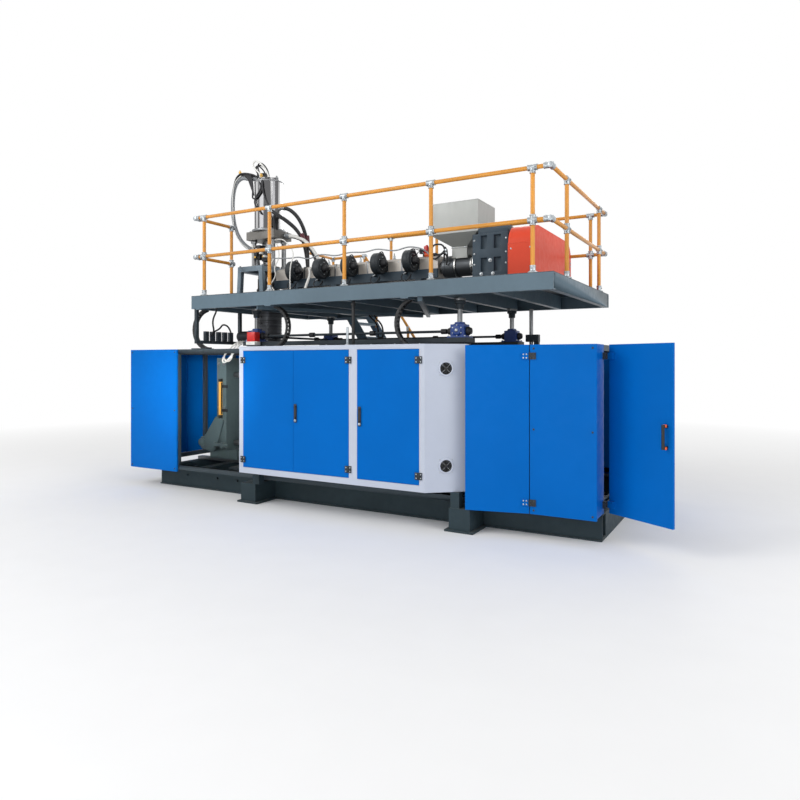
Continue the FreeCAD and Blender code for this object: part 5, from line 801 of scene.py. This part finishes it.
# motor fins
fins = Form()
for ray in spokes(26):
    if ray.z > -0.75:
        turn = ray.to_track_quat("Z", "X").to_matrix().to_4x4()
        fins.block(MOTOR + ray * 0.209, (0.46, 0.006, 0.020), turn)
fins.piece("motor_fins", "dark_grey")


# ---- cabinet

CABINET_FACE, DOOR_FACE = -1.610, -1.620
HINGE_ROWS, PLATE = (0.525, 1.617), 0.068
# each leaf's hinged edge, and the side of it that the leaf lies on
LEAVES = {"cabinet_leaf_left": (-0.941, 1), "cabinet_leaf_centre": (0.484, -1), "cabinet_leaf_right": (1.278, -1)}

plates, plate_screws = Form(), Form()
for body, (x, side) in LEAVES.items():
    leaf, leaf_screws = Form(), Form()
    for z in HINGE_ROWS:
        plates.block((x - side * 0.0105, CABINET_FACE - 0.005, z), (0.023, 0.010, PLATE))
        leaf.block((x + side * 0.034, DOOR_FACE - 0.0025, z), (0.032, 0.007, PLATE))
        knuckle = Vector((x + side * 0.010, DOOR_FACE, z))
        leaf.rod(knuckle - Z * PLATE / 2, knuckle + Z * PLATE / 2, 0.008)
        for rise in (-0.018, 0.018):
            plate_screws.bolt((x - side * 0.010, CABINET_FACE - 0.0095, z + rise), -Y, 0.0042)
            leaf_screws.bolt((x + side * 0.034, DOOR_FACE - 0.0055, z + rise), -Y, 0.0042)
    leaf.piece(f"{body}_hinge_plates", "black_paint", body, broken=0.0015)
    leaf_screws.piece(f"{body}_hinge_screws", "fitting_silver", body, broken=0.0004)
plates.piece("cabinet_hinge_plates", "black_paint", "base", broken=0.0015)

for body, x in (("cabinet_leaf_centre", -0.195), ("cabinet_leaf_right", 0.606)):
    key = Form()
    key.lathe((x, DOOR_FACE + 0.001, 0.984), -Y, "0 15, 6 15, 8 12, 12 11, 13 6", ROUND)
    key.piece(f"{body}_key_barrel", "fitting_silver", body, broken=0.0004)
    plate = Form().boxes("-17 -3 962 17 1 1156", (x, DOOR_FACE, 0))
    plate.piece(f"{body}_lock_plate", "black_plastic", body, broken=0.0015)

# fan guards: white ring, wire grille, struts and four screws
FAN_OUT, FAN_ACROSS = Vector((0.6357, -0.7719, 0)), Vector((0.7719, 0.6357, 0))
ring, grille, cross = Form(), Form(), Form()
for z in (0.620, 1.537):
    heart = Vector((1.4845, -1.4795, z))
    ring.lathe(heart, FAN_OUT, "-4 57, -4 74.5, 5 74.5, 9 71, 10 60, 6 56.5", closed=True)
    for radius in (0.050, 0.043, 0.036, 0.029, 0.022):
        grille.hoop(heart + FAN_OUT * 0.0065, FAN_OUT, radius, 0.0014, 40)
    grille.lathe(heart + FAN_OUT * 0.001, FAN_OUT, "0 12, 4 16, 8 15, 10 8", ROUND)
    for ray in spokes(4, 45, FAN_ACROSS):
        strut = heart + FAN_OUT * 0.0068
        cross.rod(strut + ray * 0.013, strut + ray * 0.058, 0.0017, 10)
        plate_screws.bolt(heart + FAN_OUT * 0.0005 + ray * 0.086, FAN_OUT, 0.0032)
ring.piece("fan_rings", "cabinet_white", "base", stands_for=("fan_guards",), broken=0.0006)
grille.piece("fan_grilles", "black_plastic", "base", broken=0)
cross.piece("fan_struts", "conduit_grey", "base", broken=0)

# screws of the cabinet's top, and the level post on it
plate_screws.bolts("-900 -630 -360 -90 180 450 720 990 1260, -1585, 1768", Z, 0.006)
plate_screws.rods("349 -1450 1768 349 -1450 1958 13")
plate_screws.lathe((0.349, -1.45, 1.768), Z, "0 30, 8 30, 10 18, 20 14", ROUND)
plate_screws.piece("cabinet_screws", "fitting_silver", "base", broken=0.0004)


# ---- guard

screws = Form()
screws.bolts("-3130 -2342 2281 2804, -1322, 261 990.5 1720", -Y, 0.0065)
HINGES = "311 343 1636 1668"
screws.bolts("2258, -1336.8, " + HINGES, -Y, 0.0048)
screws.bolts("2286, -1331.2, " + HINGES, -Y, 0.0048)
screws.piece("guard_screws", "dark_grey", "base", broken=0.0004)

SWING = math.radians(13.5)
ALONG, OUT = Vector((-math.cos(SWING), -math.sin(SWING), 0)), Vector((math.sin(SWING), -math.cos(SWING), 0))
leaf = Form()
for far, (z,) in itertools.product((0.020, 0.048), mm(HINGES.replace(" ", ","))):
    leaf.bolt(Vector((2.2395, -1.3325, z)) + ALONG * far + OUT * 0.0005, OUT, 0.0048)
leaf.piece("guard_door_screws", "fitting_silver", "guard_door_leaf", broken=0.0004)

# galvanised strip with brackets beside the end door
strip = Form().boxes("2813 -1245 262 2820 -1205 1742")
for z in (0.34, 0.80, 1.26, 1.68):
    strip.boxes("2813 -1205 -20 2822 -1150 20", Z * z)
    strip.bolt((2.820, -1.225, z), X, 0.006)
strip.piece("end_strip", "fitting_silver", "base")

# end door: orange handle ends
handle = Form()
for low in (0.884, 1.066):
    handle.lathe((3.3880, -1.3520, low), Z, "0 12, 2 15.5, 22 15.5, 24 12", ROUND)
handle.piece("handle_ends", "valve_orange", "end_door_leaf", broken=0.0006)

# light curtain: black ends, window and bracket
curtain = Form().boxes("""-2281.5 -638.5 848 -2240.5 -597.5 888, -2281.5 -638.5 1332 -2240.5 -597.5 1372,
    -2242.5 -629 900 -2241 -607 1320, -2240 -612 930 -2150 -600 970, -2240 -612 1250 -2150 -600 1290""")
curtain.piece("light_curtain_ends", "black_plastic", "left_clamp", broken=0.0015)

# clamp: arm with boss and shaft, and bolts on the platens
arm, boss = Form(), Form()
arm.slab(mm("-2352 862, -2205 812, -2318 500, -2345 420, -2412 385, -2600 415, -2640 500, -2560 580"), -0.624, -0.598)
arm.lathe((-2.592, -0.656, 0.506), Y, "0 44, 6 54, 110 54, 116 44", ROUND)
arm.rods("-2345 -646 490 -2095 -646 487 23.5")
arm.boxes("-2218 -672 452 -2180 -598 524, -2360 -660 458 -2330 -622 520")
arm.piece("clamp_arm", "clamp_grey", "left_clamp", broken=0.003)
boss.bolts("-2305 -2217, -600, 990 1570", -Y, 0.014)
boss.bolts("-2345, -320 -140 140 320, 650 960 1280 1570", -X, 0.012)
boss.piece("platen_bolts", "steel", "left_clamp")
far = Form()
far.bolts("-1693 -1605, -600, 470 960 1570", -Y, 0.014)
far.piece("right_platen_bolts", "steel", "right_clamp")


# ---- under the platform

CHAIN_LOW, CHAIN_TOP, CHAIN_DEPTH, CHAIN_HALF, LINK_PITCH = 1.767, 2.251, -1.035, 0.031, 0.043
# x of the top end, and how far the middle and the lower end lie from it
CHAINS = mm("-2080 -210 50, -957 192 -43, 869 -169 -19")

links = Form()
for top, bow, sway in CHAINS:
    a, b = Vector((top, CHAIN_TOP)), Vector((top + bow, (CHAIN_LOW + CHAIN_TOP) / 2))
    c = Vector((top + sway, CHAIN_LOW))
    # centre of the circle through the three points
    d = 2 * (a.x * (b.y - c.y) + b.x * (c.y - a.y) + c.x * (a.y - b.y))
    sizes = [p.length_squared for p in (a, b, c)]
    hub = Vector(((sizes[0] * (b.y - c.y) + sizes[1] * (c.y - a.y) + sizes[2] * (a.y - b.y)) / d,
                  (sizes[0] * (c.x - b.x) + sizes[1] * (a.x - c.x) + sizes[2] * (b.x - a.x)) / d))
    reach = (a - hub).length
    start, stop = (math.atan2(p.y - hub.y, p.x - hub.x) for p in (a, c))
    if bow < 0:
        start, stop = start % (2 * math.pi), stop % (2 * math.pi)
    count = max(6, round(abs(stop - start) * reach / LINK_PITCH))
    for k in range(count):
        angle = start + (stop - start) * (k + 0.5) / count
        place = Matrix.Translation((hub.x + reach * math.cos(angle), CHAIN_DEPTH, hub.y + reach * math.sin(angle)))
        place = place @ Matrix.Rotation(-angle - math.pi / 2, 4, "Y")
        for side in (-1, 1):
            shift = place @ Matrix.Translation((0, side * CHAIN_HALF * 0.88, 0))
            links.block((0, 0, 0), (0.046, 0.0065, 0.034), shift)
            bolt = shift @ Matrix.Translation((0.015, side * 0.002, 0)) @ Matrix.Rotation(math.pi / 2, 4, "X")
            bmesh.ops.create_cone(links.mesh, cap_ends=True, segments=14, radius1=0.012, radius2=0.012,
                                  depth=0.009, matrix=bolt)
        for face in (-1, 1):
            bar = place @ Matrix.Translation((0.004, 0, face * 0.0145))
            links.block((0, 0, 0), (0.018, 0.058, 0.005), bar)
chain = links.piece("drag_chain_links", "black_plastic", None, stands_for=("drag_chains",))
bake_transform(chain)

LIFT_AXIS, BOX_AXIS = 1.9195, 1.925
COUPLING = mm("0 22, 4 28, 66 28, 70 22")
blue, steel, dark, collars = Form(), Form(), Form(), Form()
for x, y in itertools.product((-1.465, 1.320), (-0.795, 0.795)):
    out = math.copysign(1, y)
    face = Vector((x, y + out * 0.075, BOX_AXIS))
    blue.lathe(face - Y * out * MM, Y * out, "0 60, 6 60, 8 50, 20 48, 22 34")
    steel.lathe(face, Y * out, "15 18, 24 18, 28 12", ROUND)
    for ray in spokes(6, 30, X, Z):
        steel.bolt(face + Y * out * 0.004 + ray * 0.053, Y * out, 0.0055)
    blue.boxes("-105 -100 1849 105 100 1864, -78.5 -55 1870 -72.5 55 1975, 72.5 -55 1870 78.5 55 1975", (x, y, 0))
    steel.bolts("-92 92, -85 85, 1864", Z, 0.008, (x, y, 0))
    for side in (-1, 1):
        dark.lathe((x + side * 0.078, y, LIFT_AXIS), X * side, "0 34, 4 44, 30 44, 34 36, 52 34, 56 20", ROUND)
    blue.lathe((x, y, 1.985), Z, "0 66, 10 66, 14 52, 28 50, 30 36")
    collars.lathe((x, y, 2.150), Z, "0 34, 4 40, 50 42, 58 58, 86 60, 90 52")
    for ray in spokes(8, 0, X, Y):
        collars.bolt(Vector((x, y, 2.236)) + ray * 0.052, -Z, 0.006)
blue.piece("jack_hubs", "jack_blue", "base", broken=0.0015)
steel.piece("jack_bolts", "fitting_silver", "base", broken=0.0005)
collars.piece("jack_collars", "dark_grey", "platform")

# lift switch on the front left jack
red, white = Form(), Form()
red.boxes("-1475 -962 1850 -1350 -868 1966, -1465 -966 1862 -1360 -960 1954")
white.boxes("-1485 -968 1806 -1340 -868 1850")
red.piece("switch_cover", "signal_red", "base", broken=0.006)
white.piece("switch_base", "hose_white", "base", broken=0.004)

# couplings and bearings of the lift shafts
for x, y in itertools.product((-1.335, -0.635, 0.215, 1.105), (-0.795, 0.795)):
    dark.lathe((x, y, LIFT_AXIS), X, COUPLING, ROUND)
for y in (-0.485, 0.415):
    dark.lathe((-1.465, y, LIFT_AXIS), Y, COUPLING, ROUND)
for k in range(9):
    dark.lathe((-1.735 + 0.019 * k, -0.795, LIFT_AXIS), X, "0 62.5, 2 67, 7 67, 9 62.5")
dark.piece("shaft_couplings", "rubber_black", "base", broken=0.0008)

# bands, seams and heater terminals of the die head
bands, seams = Form(), Form()
for z in (2.262, 2.165, 2.090, 1.995, 1.900):
    seams.hoop((HEAD_X, 0, z), Z, 0.1755, 0.0042)
for z in (2.215, 2.128, 2.043, 1.948):
    heart = Vector((HEAD_X, 0, z))
    bands.lathe(heart - Z * 0.014, Z, "0 175, 1 177.5, 27 177.5, 28 175")
    bands.boxes("-20 -196 -12 -6 -172 12, 6 -196 -12 20 -172 12", heart)
    seams.rods("-26 -188 0 26 -188 0 4", 10, heart)
seams.rods("-1900 -150 1945 -1900 -195 1945 17, -1860 -150 1945 -1860 -195 1945 17", 16)
bands.piece("die_bands", "head_steel", broken=0.0006)
seams.piece("die_seams", "rubber_black", broken=0)

# pipe and cables down from the deck
pipe = Form().rods("188 -1100 1620 188 -1100 2420.5 17")
pipe.lathe((0.188, -1.10, 2.205), Z, "0 18, 4 26, 34 26, 38 18", ROUND)
pipe.piece("drop_pipe", "black_plastic", broken=0.0006)
cables("deck_drop_cables", "rubber_black", 0.011, """
    -520 350 2240, -500 330 2200, -400 320 2130, -355 320 2020, -375 340 1900, -375 340 1780;
    -470 400 2240, -450 380 2190, -345 370 2110, -305 360 2010, -330 380 1900, -330 380 1780;
    -1900 -1020 2420, -1900 -1030 2260, -2000 -1030 2120, -2000 -980 1960, -2140 -920 1930;
    -2130 -560 1980, -2100 -620 2060, -2140 -700 2100, -2120 -780 2020, -2140 -860 1990""")

# hoses that hang between the guard and the cabinet
cables("clamp_hoses", "hose_white", 0.010, """
    -1710 -820 1860, -1710 -930 1830, -1740 -1000 1740, -1800 -1020 1680, -1780 -1040 1620, -1700 -1040 1600,
    -1660 -1020 1660, -1690 -1000 1720, -1680 -930 1820, -1670 -820 1860;
    -1640 -820 1860, -1630 -930 1820, -1640 -1000 1720, -1700 -1030 1650, -1760 -1040 1585, -1830 -1030 1600,
    -1820 -1010 1660""",
    body="base")


# ---- floor, light and camera

def studio():
    """White ground that turns into pure white far off, and white surroundings, dimmer as light than as seen."""
    bpy.ops.mesh.primitive_plane_add(size=120)
    floor = bpy.context.object
    floor.name = "floor"
    paint = bpy.data.materials.new("floor_paint")
    g = Graph(paint)
    place = g.add("TexCoord").outputs["Object"]
    reach = g.add("VectorMath", {0: place}, operation="LENGTH").outputs["Value"]
    tone = g.mix(g.noise(place, 3.0), linear(243, 243, 243), linear(247, 247, 247))
    matt = g.add("BsdfPrincipled", {"Base Color": tone, "Roughness": 0.9})
    white = g.add("Emission", {0: WHITE, 1: 1.0})
    share = g.math("MULTIPLY", g.ranged(reach, 4.0, 12.0), g.seen())
    both = g.add("MixShader", {0: share, 1: matt.outputs[0], 2: white.outputs[0]})
    g.add("OutputMaterial", {0: both.outputs[0]})
    floor.data.materials.append(paint)
    world = bpy.data.worlds.new("studio")
    bpy.context.scene.world = world
    g = Graph(world)
    sky = g.add("Background", {0: WHITE, 1: g.ranged(g.seen(), 0.0, 1.0, 0.54)})
    g.add("OutputWorld", {0: sky.outputs[0]})


def lamp(name, place, aim, watts, side, cone=180):
    data = bpy.data.lights.new(name, "AREA")
    data.energy = watts
    data.size = side
    data.spread = math.radians(cone)
    thing = bpy.data.objects.new(name, data)
    bpy.context.scene.collection.objects.link(thing)
    thing.location = place
    thing.rotation_euler = (Vector(aim) - Vector(place)).to_track_quat("-Z", "Y").to_euler()


def photo_camera():
    data = bpy.data.cameras.new("camera")
    data.lens = 29.136
    data.sensor_width = 36
    data.shift_y = -0.0478
    data.clip_end = 200
    camera = bpy.data.objects.new("camera", data)
    bpy.context.scene.collection.objects.link(camera)
    camera.location = (4.103, -6.990, 1.600)
    camera.rotation_euler = (math.radians(90), 0, math.radians(29.478))
    bpy.context.scene.camera = camera


studio()
lamp("key", (-5.0, -8.5, 7.0), (-0.5, 0.0, 1.5), 480, 6.0)
lamp("side", (10.0, -3.0, 5.0), (1.0, 0.0, 1.5), 290, 5.0)
lamp("bay", (0.6, -4.4, 1.7), (-2.95, -0.15, 1.05), 5, 0.6, 26)
lamp("fill", (1.5, -8.5, 0.9), (0.6, 0.0, 2.6), 110, 3.0)
lamp("back", (0.0, 9.0, 8.0), (0.0, 0.0, 2.0), 260, 6.0)
photo_camera()
bpy.context.scene.view_settings.view_transform = "Standard"
